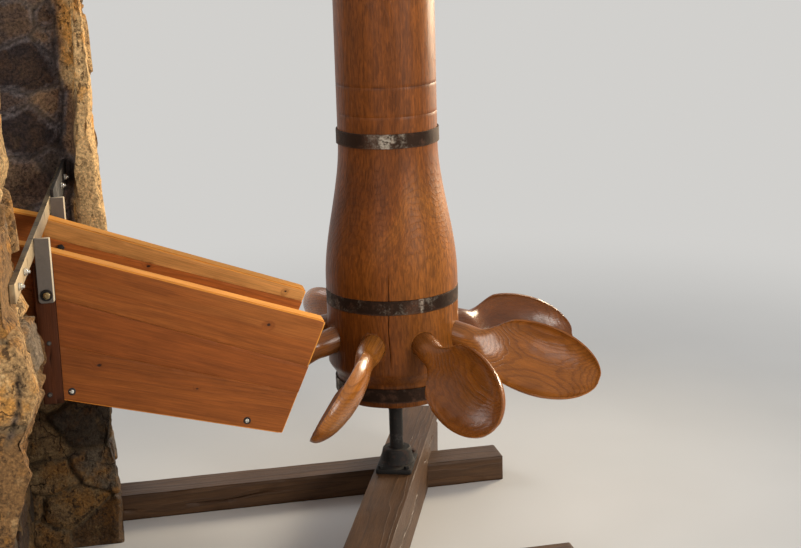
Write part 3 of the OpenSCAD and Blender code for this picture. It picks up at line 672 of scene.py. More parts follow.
def plank(low0, low1, high1, high0, normal, thick, bevels=(0.003, 0.003), step=0.012, seed=0,
          wave=0.0004, wear=0.0012, pith=(0.09, 0.5), cracks=(), tone=0.5, dirt_at_ends=0.0, wet=0.0,
          edge=0.0, blush=0.0):
    """A board or bar between four corners of its middle plane, low edge first, with rounded
    edges: bevels gives the radius at the low and the high edge. cracks are (side, share of
    height, first and last share of length, width, depth). pith is the place of the log's
    middle: its distance behind the board and its share of the board's height. edge is how
    strongly a highlight is painted along the arrises, on the upper edge and at the ends, and
    blush how red the board is."""
    low0, low1, high1, high0 = (np.asarray(c, float) for c in (low0, low1, high1, high0))
    n = unit(normal)
    length = (np.linalg.norm(low1 - low0) + np.linalg.norm(high1 - high0)) / 2
    height = (np.linalg.norm(high0 - low0) + np.linalg.norm(high1 - low1)) / 2
    shares = list(np.linspace(0, 1, max(3, int(height / step) + 1)))
    for _, at, _, _, width, _ in cracks:
        shares += [at + k * width / height for k in (-1.2, -0.6, 0, 0.6, 1.2)]
    loop = rounded_loop(np.sort(np.clip(shares, 0, 1)), max(2, int(thick / step)))
    rounded, rising = loop[:, 6], loop[:, 4]
    bevel = mix(bevels[0], bevels[1], loop[:, 0])
    end = max(bevels)
    stations = np.linspace(end / length, 1 - end / length, max(3, int(length / step) + 1))
    ends = [(0, 1.0), (0.15 * end / length, 0.45), (0.45 * end / length, 0.15)]
    rings = ends + [(s, 0.0) for s in stations] + [(1 - s, e) for s, e in reversed(ends)]
    s, inset = np.array(rings).T[..., None]
    inset = inset * end
    lo, hi = mix(low0, low1, s), mix(high0, high1, s)
    h = np.linalg.norm(hi - lo, axis=1)[:, None]
    up = (hi - lo) / h
    across = bevels[0] + loop[:, 0] * (h - sum(bevels)) + loop[:, 1] * bevel
    across = h / 2 + (across - h / 2) * (1 - 2 * inset / h)
    w = (loop[:, 2] * thick / 2 + loop[:, 3] * bevel) * (1 - 2 * inset / thick)
    flat = (lo[:, None] + up[:, None] * across[..., None] + n * w[..., None]).reshape(-1, 3)
    out = (up[:, None] * rising[:, None] + n * loop[:, 5][:, None]).reshape(-1, 3)

    def each(values):
        return np.broadcast_to(values, w.shape).ravel()

    share, place, side = each(s), each(across / h), each(loop[:, 5])
    d = wave * fbm(flat, 0.16, 3, seed)
    worn = np.clip(fbm(flat, 0.05, 3, seed + 5) + 0.1, 0, 1)
    d -= wear * each(rounded * np.minimum(bevel / WORN_HIGHLIT_BEVEL, 1)) * worn
    dirt = np.zeros(len(flat))
    for k, (face, at, s0, s1, width, depth) in enumerate(cracks):
        wander = 0.008 / height * noise(np.c_[share * 9, share * 0 + k, share * 0 + seed], 1.0, seed)
        on = np.exp(-((place - at - wander) * height / (width * 0.5)) ** 2)
        on *= smooth((share - s0) / 0.08) * smooth((s1 - share) / 0.08) * (side * face > 0.5)
        d -= depth * on
        dirt = np.maximum(dirt, on)
    if dirt_at_ends:
        from_end = np.minimum(share, 1 - share) * length
        dirt = np.maximum(dirt, dirt_at_ends * (1 - smooth(from_end / 0.05)))
    # A highlight is painted on the wider arrises and the upper edge face, and less at the ends.
    edge_highlight = 0.95 * ((rounded > 0) & (bevel > WORN_HIGHLIT_BEVEL) | (rising > 0.99))
    edge_highlight = np.maximum(each(edge_highlight), each(inset > 0) * 0.8)
    verts, faces = close_grid((flat + out * d[:, None]).reshape(len(rings), len(loop), 3))
    if np.dot(np.cross(up[0], low1 - low0), n) < 0:
        faces = [f[::-1] for f in faces]
    grain = np.c_[w.ravel() + thick / 2 + pith[0], (across - h * pith[1]).ravel(),
                  share * length + seed * 0.37]
    grain = np.vstack([grain, grain[:len(loop)].mean(0), grain[-len(loop):].mean(0)])
    same = {key: np.full(len(grain), value)
            for key, value in (("tone", tone), ("wet", wet), ("blush", blush))}
    return verts, faces, {"grain": grain, **closed({"dirt": dirt, "edge": edge_highlight * edge}), **same}


def join(parts):
    """Several shapes as one."""
    verts, faces, attributes, n = [], [], {}, 0
    for v, f, a in parts:
        verts.append(v)
        faces += [tuple(i + n for i in face) for face in f]
        for key, values in a.items():
            attributes.setdefault(key, []).append(values)
        n += len(v)
    return np.vstack(verts), faces, {k: np.concatenate(v) for k, v in attributes.items()}


def turn_to(points, at, axis):
    """Points made round +Z, turned to lie round axis and moved to at."""
    turn = np.array(Vector(axis).to_track_quat("Z", "Y").to_matrix())
    return np.asarray(points) @ turn.T + np.array(at)


def turned(profile, at, axis, sides=32, step=0.004):
    """A lathe piece round any axis."""
    verts, faces = close_grid(lathe(profile, circle(sides), step)[0])
    return turn_to(verts, at, axis), faces, {}


def rod(length, r, at, axis, sides=32, step=0.004):
    """A closed cylinder from at along axis."""
    return turned([(r * 0.5, 0), (r, 0), (r, length), (r * 0.5, length)], at, axis, sides, step)


def plate(outline, thick, at, right, up, bevel):
    """A flat plate with softened edges: outline runs along right and up from at."""
    out = right.cross(up)
    bm = bmesh.new()
    bm.faces.new([bm.verts.new(Vector(at) + right * x + up * y) for x, y in outline])
    grown = bmesh.ops.extrude_face_region(bm, geom=list(bm.faces))
    moved = [g for g in grown["geom"] if isinstance(g, bmesh.types.BMVert)]
    bmesh.ops.translate(bm, verts=moved, vec=out * thick)
    bmesh.ops.recalc_face_normals(bm, faces=bm.faces)
    rims = [e for e in bm.edges if abs(e.calc_face_angle(0)) > 0.5]
    bmesh.ops.bevel(bm, geom=rims, offset=bevel, segments=2, profile=0.5, affect="EDGES")
    bm.verts.index_update()
    verts = np.array([v.co[:] for v in bm.verts])
    faces = [tuple(v.index for v in f.verts) for f in bm.faces]
    bm.free()
    return verts, faces, {}


def round_corner(x, y, r, start, steps=5):
    """Points of a quarter circle round (x, y), from the angle start in degrees."""
    angles = [math.radians(start + 90 * k / steps) for k in range(steps + 1)]
    return [(x + r * math.cos(a), y + r * math.sin(a)) for a in angles]


def cap(r, h, first, last, count, base=0):
    """The profile of a round head, between two angles up from its rim."""
    return [(r * math.cos(t), base + h * math.sin(t)) for t in np.linspace(first, last, count)]


def dome(at, axis, r, h):
    """A rivet's head."""
    return turned([(r, -0.002), (r, 0)] + cap(r, h, 0.2, 1.45, 5), at, axis, 20, 0.01)


def hex_head(at, axis, across, h, turn=0.0):
    """A hexagon with its corners turned off, as a nut or a bolt's head."""
    rows = []
    for share, size in ((0, 0.96), (0.12, 1), (0.78, 1), (0.92, 0.97), (1, 0.88)):
        r = across / math.sqrt(3) * size
        rows.append([polar(turn + math.radians(60 * i), r, h * share) for i in range(6)])
    verts, faces = close_grid(np.array(rows))
    return turn_to(verts, at, axis), faces, {}


WASHER_T = 0.0022


def washer(at, axis, r):
    rim = 0.0006
    return turned([(r * 0.3, 0), (r - rim, 0), (r, rim), (r, WASHER_T - rim), (r - rim, WASHER_T),
                   (r * 0.3, WASHER_T)], at, axis)


def bolt_end(at, axis, bolt, turn):
    """A washer, a nut and the threaded end of its stud."""
    on = at + axis * WASHER_T
    pitch = 0.00055
    thread = [(bolt * (0.98 if k % 2 else 0.88), bolt * 1.2 + k * pitch) for k in range(9)]
    return [washer(at, axis, bolt * 2.2), hex_head(on, axis, bolt * 3.1, bolt * 1.3, turn),
            turned(thread + [(bolt * 0.6, bolt * 1.2 + 10 * pitch)], on, axis, 24, 0.01)]


def pan_screw(at, axis, r):
    """A screw's head with a slot across it."""
    rise = 0.0010
    profile = [(r, -0.001), (r, 0), (r, rise)] + cap(r, r * 0.40, 0.3, 1.35, 6, rise)
    verts, faces, _ = turned(profile, (0, 0, 0), UP, 32, 0.0012)
    slot = np.exp(-(verts[:, 1] / 0.0009) ** 4) * smooth((verts[:, 2] - rise * 1.5) / 0.0008)
    verts[:, 2] -= 0.0016 * slot
    turn = np.array(Matrix.Rotation(0.6 + 40 * (at[0] + at[2]), 3, "Z"))
    return turn_to(verts @ turn.T, at, axis), faces, {}


def cut(ob, cutters):
    """Cuts closed shapes out of a piece; the new faces keep the piece's attributes."""
    tool = add_mesh("cutter", *join(cutters))
    mod = ob.modifiers.new("cut", "BOOLEAN")
    mod.object = tool
    mod.operation = "DIFFERENCE"
    mod.solver = "MANIFOLD"
    bpy.context.view_layer.update()
    solid = bpy.data.meshes.new_from_object(ob.evaluated_get(bpy.context.evaluated_depsgraph_get()))
    ob.modifiers.clear()
    ob.data = solid
    bpy.data.objects.remove(tool)


def peg(length, r, at, axis):
    """A cylinder to cut a hole with, and the look of the hole's wall."""
    verts, faces, _ = rod(length, r, at, axis, 64, 0.02)
    look = {key: np.full(len(verts), value) for key, value in (("dirt", 0.8), ("tone", 0.8), ("wet", 0.5))}
    return verts, faces, {"grain": verts, **look}


# Rubble wall

# Sizes of the stones, largest first: each takes its turn in an eighth of all tries, the last
# one in the rest of them.
STONE_SIZES = (1.5, 1.1, 0.75, 0.5)


def stone_seeds(p, seed, tries=3600):
    """Middles of the stones on a surface with points p: large stones first, then smaller ones
    where there is room. Heights are stretched, so the stones come out wider than high."""
    r = np.random.default_rng(seed)
    kept = np.empty((0, 4))
    for k, at in enumerate(p[r.integers(0, len(p), tries)]):
        size = STONE_SIZES[min(3, 8 * k // tries)] * r.uniform(0.9, 1.15)
        away = np.linalg.norm(kept[:, :3] - at, axis=1)
        if np.all(away > STONE_GAP * (kept[:, 3] + size) / 2):
            kept = np.vstack([kept, [*at, size]])
    return kept[:, :3]


def stone_cells(p, seed, blocks):
    """The stone at each point p of a surface: its number, its middle, the distance to the edge
    of its joint, and how many there are. blocks gives stones of a set place: their middle, half
    size, tone and hue."""
    flat = np.array([1, 1, STONE_FLAT])
    seeds = stone_seeds(p * flat, seed)
    tree = KDTree(len(seeds))
    for i, at in enumerate(seeds):
        tree.insert(at, i)
    tree.balance()
    who, edge = np.empty(len(p), int), np.empty(len(p))
    for i, at in enumerate((p * flat).tolist()):
        (_, first, d0), *others = tree.find_n(at, 4)
        gaps = []
        for _, other, d in others:
            apart = seeds[other] - seeds[first]
            real = apart / flat
            gaps.append((d * d - d0 * d0) / 2 * math.sqrt(np.dot(real, real)) / np.dot(apart, apart))
        who[i], edge[i] = first, min(gaps)
    middle, count = seeds[who] / flat, len(seeds)
    for centre, half, *_ in blocks:
        inside = (np.array(half) - np.abs(p - centre)).min(axis=1)
        taken = inside > 0
        who[taken] = count
        middle[taken] = centre
        edge = np.where(taken, inside, np.minimum(edge, -inside))
        count += 1
    return who, middle, edge, count


def stone_relief(p, seed, blocks=()):
    """How far the surface at points p stands in front of the wall's face, with the tones of its
    stones. Each stone has its own lean and broken skin, and stands proud of the mortar."""
    bend = [0.014 * fbm(p, 0.12, 2, seed + k) + 0.005 * noise(p, 0.03, seed + 10 + k) for k in range(3)]
    who, middle, edge, count = stone_cells(p + np.array(bend).T * (1, 1, 0.8), seed, blocks)
    r = np.random.default_rng(seed + 50)
    base = r.uniform(-0.015, 0.0, count)[who]
    lean = r.uniform(-0.14, 0.14, (count, 3))[who]
    own = p + r.uniform(0, 50, (count, 3))[who]
    tall = own * (1, 1, 0.5)
    stone = base + np.clip((lean * (p - middle)).sum(axis=1), -0.014, 0.014)
    stone += 0.016 * (0.25 - np.abs(fbm(tall, 0.110, 2, seed + 3)))
    stone += 0.009 * (0.25 - np.abs(noise(tall, 0.042, seed + 4))) + 0.0028 * fbm(own, 0.018, 2, seed + 5)
    stone -= 0.014 * np.clip(noise(own, 0.022, seed + 6) - 0.42, 0, 1)
    mortar = -MORTAR_DEPTH + 0.006 * fbm(p, 0.04, 3, seed + 7) + 0.002 * noise(p, 0.010, seed + 8)
    d = np.minimum(mix(mortar, stone, smooth(edge / 0.013)), STONE_PROUD)
    tone, hue = r.uniform(0, 1, (2, count))
    for k, (_, _, block_tone, block_hue) in enumerate(blocks, count - len(blocks)):
        tone[k], hue[k] = block_tone, block_hue
    joint = 1 - smooth((edge + 0.003 * noise(p, 0.012, seed + 9) - 0.0015) / 0.006)
    smear = 1 - smooth((edge + 0.014 * fbm(p, 0.036, 3, seed + 11) - 0.010) / 0.006)
    # Darker low on the wall: damp, and painted shade.
    damp = smooth((WET_SHADE_TOP - p[:, 2] + 0.06 * fbm(p, 0.15, 3, seed + 13)) / 0.16)
    damp *= smooth((p[:, 0] - WET_SHADE_BACK) / 0.15) * smooth((p[:, 1] - WET_SHADE_FRONT) / 0.03)
    return d, {"tone": tone[who], "hue": hue[who], "joint": joint, "smear": smear, "damp": damp,
               "soot": np.zeros(len(p))}


def outline_weights(q, corners):
    """How much of the back's, the recess's and the face's place each point q along an outline
    takes, and its place along Y. corners holds distance, a letter for the first three, and Y."""
    at, letters, ys = zip(*corners)
    share = [np.interp(q, at, [letter == which for letter in letters]) for which in "brf"]
    return np.array(share), np.interp(q, at, ys)


def wall_grid(face, y0, y1, recessed, step, cap_rows=34):
    """Rings of points round a jamb, from the ground up and in to the middle of its top. A
    recessed jamb steps back above the recess's floor: there each ring runs round the recess."""
    back, top = WALL_BACK, face[-1][1]
    wide, deep = y1 - y0, face[0][0] - back
    front = [(wide + deep, "f", y0), (2 * wide + deep, "f", y1), (2 * (wide + deep), "b", y1)]
    front_at = [at for at, *_ in front]
    q = spans([0, wide, *front_at], step)[:-1]
    plain = outline_weights(q, [(0, "b", y1), (wide, "b", y0), *front])

    def points(outline, z):
        (on_back, on_recess, on_face), y = outline
        x = on_back * back + on_recess * along_line(RECESS_EDGE, z) + on_face * along_line(face, z)
        return np.stack([x, np.broadcast_to(y, x.shape), np.broadcast_to(z, x.shape)], axis=-1)

    middle_x, middle_y = back, y0
    if recessed:
        middle_x, middle_y = RECESS_EDGE[-1][0], RECESS_FAR_Y
        turn, side = wide - (RECESS_FAR_Y - y0), RECESS_EDGE[0][0] - back
        round_it = outline_weights(q, [(0, "b", y1), (turn, "b", RECESS_FAR_Y),
                                       (turn + side, "r", RECESS_FAR_Y), (wide + side, "r", y0), *front])
        across = np.linalg.norm(points(plain, RECESS_LOW) - points(round_it, RECESS_LOW), axis=1)
        rows = int(across.max() / step)
        rise = rows * step / 2 * (1 - across / across.max())
        low, high = RECESS_LOW - rise, RECESS_LOW + rise
        grid = [points(plain, t * low) for t in np.linspace(0, 1, int(RECESS_LOW / step))]
        for t in np.linspace(0, 1, rows + 2)[1:-1]:
            z = mix(low, high, t)
            grid.append(mix(points(plain, z), points(round_it, z), t))
        shares = np.linspace(0, 1, int((top - RECESS_LOW) / step))
        grid += [points(round_it, mix(high, top, t)) for t in shares]
    else:
        grid = [points(plain, z + 0 * q) for z in spans([0, top], step)]
    middle = np.array([(middle_x + face[-1][0]) / 2, (middle_y + y1) / 2, top])
    rim = len(grid)
    grid += [mix(grid[rim - 1], middle, t) for t in np.linspace(0, 0.985, cap_rows)[1:]]
    grid = np.array(grid)
    for _ in range(4):
        grid[1:-1] = (grid[:-2] + 2 * grid[1:-1] + grid[2:]) / 4
        grid = (np.roll(grid, 1, 1) + 2 * grid + np.roll(grid, -1, 1)) / 4
    normal = grid_normals(grid)
    normal[rim + 2:] = UP
    return grid, normal


def grid_normals(grid):
    along = np.roll(grid, -1, 1) - np.roll(grid, 1, 1)
    return unit(np.cross(along, np.gradient(grid, axis=0)))


def jamb(name, face, y0, y1, seed, node, step, blocks=(), recessed=False, shape=None):
    """One jamb of the opening as rubble, round all its sides and over its top."""
    grid, normal = wall_grid(face, y0, y1, recessed, step)
    p, n = grid.reshape(-1, 3), normal.reshape(-1, 3)
    d, look = stone_relief(p, seed, blocks)
    if recessed:
        # The recess behind the corner is painted dark as shade, and its stones sink a little.
        behind = smooth((RECESS_FAR_Y + 0.04 - p[:, 1]) / 0.02) * smooth((p[:, 1] - y0 - 0.025) / 0.04)
        end = along_line(PAINTED_SHADE_EDGE, p[:, 2]) + 0.006 * noise(p, 0.03, seed + 12)
        soot = behind * smooth((end - p[:, 0]) / 0.014) * smooth((p[:, 2] - RECESS_LOW) / 0.05)
        look["soot"] = soot
        d = d * (1 - 0.6 * soot) - 0.006 * soot
    p = p + n * (d * smooth(p[:, 2] / 0.02 + 0.2))[:, None]
    p = np.clip(p, (WALL_BACK, WALL_NEAR_Y, 0), (10, 10, face[-1][1]))
    if shape:
        shape(p, look)
    stone_piece(name, p.reshape(grid.shape), look, node)


def stone_piece(name, grid, look, node, shift_ends=None):
    verts, faces = close_grid(grid)
    if shift_ends:
        verts[-2:, 0], verts[-2:, 2] = shift_ends
    piece(name, (verts, faces, closed(look)), STONE, node, sharp=None)


def near_shape(p, look):
    """Breaks off the near jamb's front corner, keeps its stones behind the hanger bar and opens
    a crack in its front, which is painted dark as shade."""
    x, y, z = p.T
    height = z + CORNER_FALL * (y - WALL_NEAR_Y) + 0.006 * noise(p, 0.05, 77)
    x[:] = np.minimum(x, along_line(NEAR_CORNER, height) + 0.005 * fbm(p, 0.03, 2, 78)
                      + 0.0045 * noise(p, 0.017, 80))
    limit = BAR_FACE[0] + (y - BAR_FACE[1]) * math.tan(BAR_TURN) - BAR_T - 0.001
    at_bar = smooth((z - BAR_TOP + BAR_H + 0.022) / 0.022) * smooth((BAR_TOP + 0.075 - z) / 0.05)
    x -= np.clip(x - limit, 0, 1) * at_bar
    aside = np.abs(x - along_line(NEAR_CRACK, z) + 0.004 * noise(p, 0.02, 79))
    ends = smooth((z - NEAR_CRACK[0][1]) / 0.02) * smooth((NEAR_CRACK[-1][1] - z) / 0.02)
    crack = ends * (1 - smooth(aside / 0.008)) * smooth((WALL_NEAR_Y + 0.06 - y) / 0.02)
    y += 0.012 * crack
    for name in ("soot", "joint"):
        look[name] = np.maximum(look[name], crack)


def low_z(x):
    return OUTLET_LOW[1] + LOW_SLOPE * (OUTLET_LOW[0] - x)


def sill(step=0.009, gap=0.0005):
    """The wall under the trough, with its step, between the jambs."""
    outline = [(WALL_BACK, 0), (SILL_FRONT, 0), (SILL_FRONT, SILL_STEP_Z), (SILL_STEP_X, SILL_STEP_Z),
               (SILL_STEP_X, low_z(SILL_STEP_X)), (WALL_BACK, low_z(WALL_BACK))]
    loop, normal = [], []
    for (xa, za), (xb, zb) in zip(outline, outline[1:] + outline[:1]):
        length = math.hypot(xb - xa, zb - za)
        n = max(2, int(length / step))
        loop += [(mix(xa, xb, (k + 0.5) / n), 0, mix(za, zb, (k + 0.5) / n)) for k in range(n)]
        normal += [((zb - za) / length, 0, -(xb - xa) / length)] * n
    normal = sum(np.roll(normal, k, 0) for k in (-2, -1, 0, 1, 2)) / 5
    ys = spans([OPENING[0] + gap, OPENING[1] - gap], step)[::-1]
    grid = np.tile(loop, (len(ys), 1, 1))
    grid[..., 1] = ys[:, None]
    p = grid.reshape(-1, 3)
    d, look = stone_relief(p, 71)
    p = p + np.tile(normal, (len(ys), 1)) * (np.minimum(d, 0) * (p[:, 2] > 0.004))[:, None]
    p[:, 2] = np.maximum(p[:, 2], 0)
    ends = (WALL_BACK + SILL_STEP_X) / 2, SILL_STEP_Z / 2
    stone_piece("sill_rubble", p.reshape(grid.shape), look, "sill_wall", ends)


# Wheel

def trunk_profile():
    flare = [(mix(HUB_R, SHAFT_R, smooth(t)), mix(FLARE_LOW, FLARE_TOP, t)) for t in np.linspace(0, 1, 40)]
    soft, cut_r, half_w, half_floor = 0.008, 0.0003, 0.0011, 0.0003
    scribes = []
    for z in SCRIBES:
        scribes += [(SHAFT_R, z - half_w), (SHAFT_R - cut_r, z - half_floor),
                    (SHAFT_R - cut_r, z + half_floor), (SHAFT_R, z + half_w)]
    low, top, seat_z = TRUNK_LOW, TRUNK_TOP, HOOP_LOW["hoop_lower"]
    return [(0.02, low), (FOOT_R - soft, low), (FOOT_R - soft * 0.25, low + soft * 0.25),
            (FOOT_R, low + soft), (FOOT_R, HUB_LOW - FOOT_SHOULDER), (HUB_R - 0.003, HUB_LOW - 0.002),
            (HUB_R, HUB_LOW + 0.004),
            (HUB_R, seat_z - 0.001), (HUB_SEAT_R, seat_z), (HUB_SEAT_R, seat_z + HOOP_H),
            (HUB_R, seat_z + HOOP_H + 0.001), *flare, *scribes, (SHAFT_R, top - soft),
            (SHAFT_R - soft * 0.25, top - soft * 0.25), (SHAFT_R - soft, top), (0.02, top)]


def blade_heading(i):
    return BLADE_TURN - math.pi / 2 + i * 2 * math.pi / BLADES


def trunk():
    angles = circle(200)
    for az, _, _, width, _ in CHECKS:
        extra = np.array([-1.5, -0.9, -0.45, 0, 0.45, 0.9, 1.5]) * width / SHAFT_R
        angles = np.concatenate([angles, bearing(az) + extra])
    angles = np.unique(np.round(angles % (2 * math.pi), 5))
    grid, rr, zz = lathe(trunk_profile(), angles, 0.0085)
    dr, dz = np.gradient(rr), np.gradient(zz)
    size = np.hypot(dr, dz)
    out_r, out_z = np.repeat(dz / size, len(angles)), np.repeat(-dr / size, len(angles))
    p = grid.reshape(-1, 3)
    x, y, z = p.T
    r, a = np.hypot(x, y), np.arctan2(y, x)
    d = 0.0007 * fbm(p, 0.18, 2, 3) + 0.0003 * fbm(p * (1, 1, 0.2), 0.02, 2, 4)
    dirt = np.zeros(len(p))
    for k, (az, z0, z1, width, depth) in enumerate(CHECKS):
        wander = 0.9 * width / SHAFT_R * noise(np.c_[z * 11, 0 * z + k, 0 * z], 1.0, 9)
        off = around(a, bearing(az) + wander)
        fade = smooth((z - z0) / 0.10) * smooth((z1 - z) / 0.10 + (z1 >= TRUNK_TOP))
        on = np.exp(-(off * r / (width * 0.5)) ** 2) * fade * smooth((r - 0.045) / 0.05)
        d -= depth * on
        dirt = np.maximum(dirt, smooth(on * 1.6))
    p = p + np.c_[np.cos(a) * out_r, np.sin(a) * out_r, out_z] * d[:, None]
    verts, faces = close_grid(p.reshape(grid.shape))
    x, y, z = verts.T
    dirt = np.append(dirt, [0, 0])
    for k, scribe in enumerate(SCRIBES):
        rubbed = smooth(3 * noise(np.c_[x, y, 0 * z + k], 0.05, 12) + 0.4)
        dirt = np.maximum(dirt, 0.9 * rubbed * np.exp(-((z - scribe) / 0.0016) ** 2))
    grain = np.c_[x + 0.010 + 0.010 * np.sin(z * 2.1), y - 0.006 + 0.008 * np.cos(z * 1.7), z]
    wet = 0.5 * (1 - smooth((z - 0.58) / 0.26 + 0.35 * fbm(verts, 0.10, 3, 21)))
    # Tone by side as seen from the camera: painted light on the trunk's right side, painted shade on its
    # left.
    painted_side_light = np.sin(np.arctan2(y, x) + math.pi / 2 - CAMERA_AZIMUTH)
    look = {"grain": grain, "tone": 0.45 - 0.28 * painted_side_light, "dirt": dirt, "wet": wet}
    ob = add_mesh("trunk_turned", verts, faces, look)
    mortises, housings = [], []
    for i in range(BLADES):
        out = Vector(polar(blade_heading(i), math.cos(DROOP), -math.sin(DROOP)))
        at = Vector(polar(blade_heading(i), SHOULDER_R, SHOULDER_Z))
        housings.append(peg(0.09, NECK_R + 0.0012, at - out * FIT, out))
        mortises.append(peg(TENON_LEN + 0.01, TENON_R + 0.0006, at - out * TENON_LEN, out))
    cut(ob, housings)
    cut(ob, mortises)
    ob.data.set_sharp_from_angle(angle=math.radians(50))
    dress(ob, LARCH, "shaft_trunk", "wheel")


def hoop(node, lap_az, seed, bright_place_az, bright_place_half):
    """A forged band with a riveted lap and slightly uneven edges, with one bright place: rubbed, and on the
    upper and lower hoop also a painted highlight.
    """
    low = HOOP_LOW[node]
    inner, outer, b = HOOP_SEAT[node] + FIT, HOOP_SEAT[node] + FIT + HOOP_T - 0.0007, 0.0009
    prof = [(inner, low + HOOP_H / 4), (inner, low + b), (inner + b, low), (outer - b, low), (outer, low + b),
            (outer, low + HOOP_H - b), (outer - b, low + HOOP_H), (inner + b, low + HOOP_H),
            (inner, low + HOOP_H - b), (inner, low + HOOP_H / 4 + 0.001)]
    grid, _, _ = lathe(prof, circle(240), 0.005)
    p = grid.reshape(-1, 3)
    a = np.arctan2(p[:, 1], p[:, 0])
    share = (np.hypot(p[:, 0], p[:, 1]) - inner) / (outer - inner)
    lap = around(a, bearing(lap_az)) * inner
    d = 0.0005 * fbm(p, 0.03, 3, seed) + 0.0002 * noise(p, 0.008, seed + 1)
    d = share * (d + 0.0040 * smooth((0.045 - np.abs(lap)) / 0.002))
    p = p + np.c_[np.cos(a), np.sin(a), 0 * a] * d[:, None]
    at_edge = np.abs(p[:, 2] - low - HOOP_H / 2) > HOOP_H * 0.3
    p[:, 2] += 0.0006 * noise(np.c_[a * 3, a * 0, a * 0], 1.0, seed + 2) * at_edge
    rows, cols = grid.shape[:2]
    last = (rows - 1) * cols
    faces = ring_quads(rows, cols)
    faces += [(last + k, last + (k + 1) % cols, (k + 1) % cols, k) for k in range(cols)]
    up = (p[:, 2] - low) / HOOP_H
    off = around(a, bearing(bright_place_az)) * inner
    ragged = np.abs(off) / bright_place_half + 0.9 * fbm(p, 0.020, 4, seed + 3) + 0.9 * (up - 0.6) ** 2
    rust = 0.8 * smooth(1.4 - np.abs(off + bright_place_half + 0.020) / 0.022) + 0.7 * smooth((0.10 - up) / 0.08)
    rust *= smooth(fbm(p, 0.03, 3, seed + 4) + 0.8)
    parts = [(p, faces, {"worn": smooth((1.1 - ragged) / 0.6), "rust": rust})]
    for off in (-0.024, 0.024):
        heading = bearing(lap_az) + off / inner
        at = polar(heading, outer + 0.0038, low + HOOP_H / 2)
        verts, faces, _ = dome(at, polar(heading, 1, 0), 0.0075, 0.0035)
        parts.append((verts, faces, {"worn": np.zeros(len(verts)), "rust": np.zeros(len(verts))}))
    piece(node.replace("hoop", "band"), join(parts), HOOP, node, "wheel")


def blade_ring(s, n):
    """The section of a blade at distance s from its shoulder: a circle that turns into the
    hollowed, leaning bowl. Also gives how much each place lies in the hollow."""
    mid = 0.585 * BLADE_LEN
    shape = math.sqrt(max(0, 1 - ((s - mid) / (BLADE_LEN - mid)) ** 2))
    to_bowl = float(smooth((s - BOWL_START) / BOWL_BLEND))
    fade = min(1, max(0, (s - BOWL_START) / (BLADE_LEN - BOWL_START)))
    half = math.sqrt((BOWL_HALF_W * shape) ** 2 + mix(NECK_R, TIP_HALF_W, fade) ** 2 * (1 - shape))
    t = 2 * math.pi * (np.arange(n) + 0.5) / n
    a = t - 0.35 * to_bowl * np.sin(2 * t)
    face = np.sin(a) >= 0
    w = half - np.where(face, RIM_LIP, 0)
    depth = BOWL_DEPTH * shape ** 1.5 + np.where(face, 0, mix(0.45 * BOWL_WALL, BOWL_WALL, shape))
    x = mix(NECK_R * np.cos(a), w * np.cos(a), to_bowl)
    bowl = BOWL_FRONT * to_bowl - depth * np.abs(np.sin(a)) ** np.where(face, 1.3, 0.8)
    y = mix(NECK_R * np.sin(a), bowl, to_bowl)
    lean_s, lean_c = math.sin(BOWL_LEAN), math.cos(BOWL_LEAN)
    return np.c_[x * lean_s - y * lean_c, x * lean_c + y * lean_s], face * to_bowl * shape


def spun(x, y, angle):
    c, s = math.cos(angle), math.sin(angle)
    return x * c - y * s, x * s + y * c


def blade(i, n=72):
    seed = 100 + i
    t = 2 * math.pi * (np.arange(n) + 0.5) / n - BOWL_LEAN + math.pi / 2
    rings = [np.c_[np.full(n, s), r * np.cos(t), r * np.sin(t)]
             for s, r in ((-TENON_LEN, TENON_R - 0.004), (-TENON_LEN + 0.004, TENON_R), (-FIT, TENON_R))]
    hollow = [np.zeros(n)] * len(rings)
    out = np.sin(np.pi / 2 * np.linspace(0, 1, 78))
    for s in (*np.linspace(0, BOWL_START, 6)[:-1], *mix(BOWL_START, BLADE_LEN - 0.002, out)):
        section, inside = blade_ring(s, n)
        rings.append(np.c_[np.full(n, s), section])
        hollow.append(inside)
    tip = rings[-1]
    middle = tip[:, 1:].mean(0)
    for grow, shrink in ((0.0012, 0.75), (0.0018, 0.4)):
        rings.append(np.c_[tip[:, 0] + grow, middle + (tip[:, 1:] - middle) * shrink])
        hollow.append(np.zeros(n))
    grid = np.array(rings)
    normal = grid_normals(grid).reshape(-1, 3)
    local, inside = grid.reshape(-1, 3), np.array(hollow).ravel()
    own = local + 10.0 * i
    scoop = np.abs(noise(own * (1.0, 2.2, 2.2), 0.050, seed)) - 0.3
    worn = smooth((local[:, 0] / BLADE_LEN - 0.75) / 0.25) * np.clip(fbm(own, 0.03, 3, seed + 3), 0, 1)
    d = inside * 0.0014 * scoop + (1 - inside) * 0.0008 * fbm(own, 0.045, 3, seed + 1) - 0.0022 * worn
    local = local + normal * (d * smooth(local[:, 0] / 0.02))[:, None]
    verts, faces = close_grid(local.reshape(grid.shape))
    x, y, z = verts.T
    out_r, up = spun(x, z, -DROOP)
    world = np.c_[(*spun(out_r + SHOULDER_R, y, blade_heading(i)), up + SHOULDER_Z)]
    across, through = spun(y, z, 0.4 * i)
    grain = np.c_[across + 0.075 + 0.004 * i, through + 0.02, x + i * 1.7]
    dirt = 0.35 * (1 - smooth((x - 0.02) / 0.05)) + 0.25 * np.clip(fbm(world, 0.06, 3, seed + 8), 0, 1)
    tone, wet = np.full(len(verts), 0.15 + 0.7 * ((i * 5) % 8) / 7), np.full(len(verts), 0.45)
    look = {"grain": grain, "tone": tone, "dirt": dirt, "wet": wet}
    piece("blade_carved_%d" % (i + 1), (world, faces, look), WET, "blade_%d" % (i + 1), "wheel", 60)


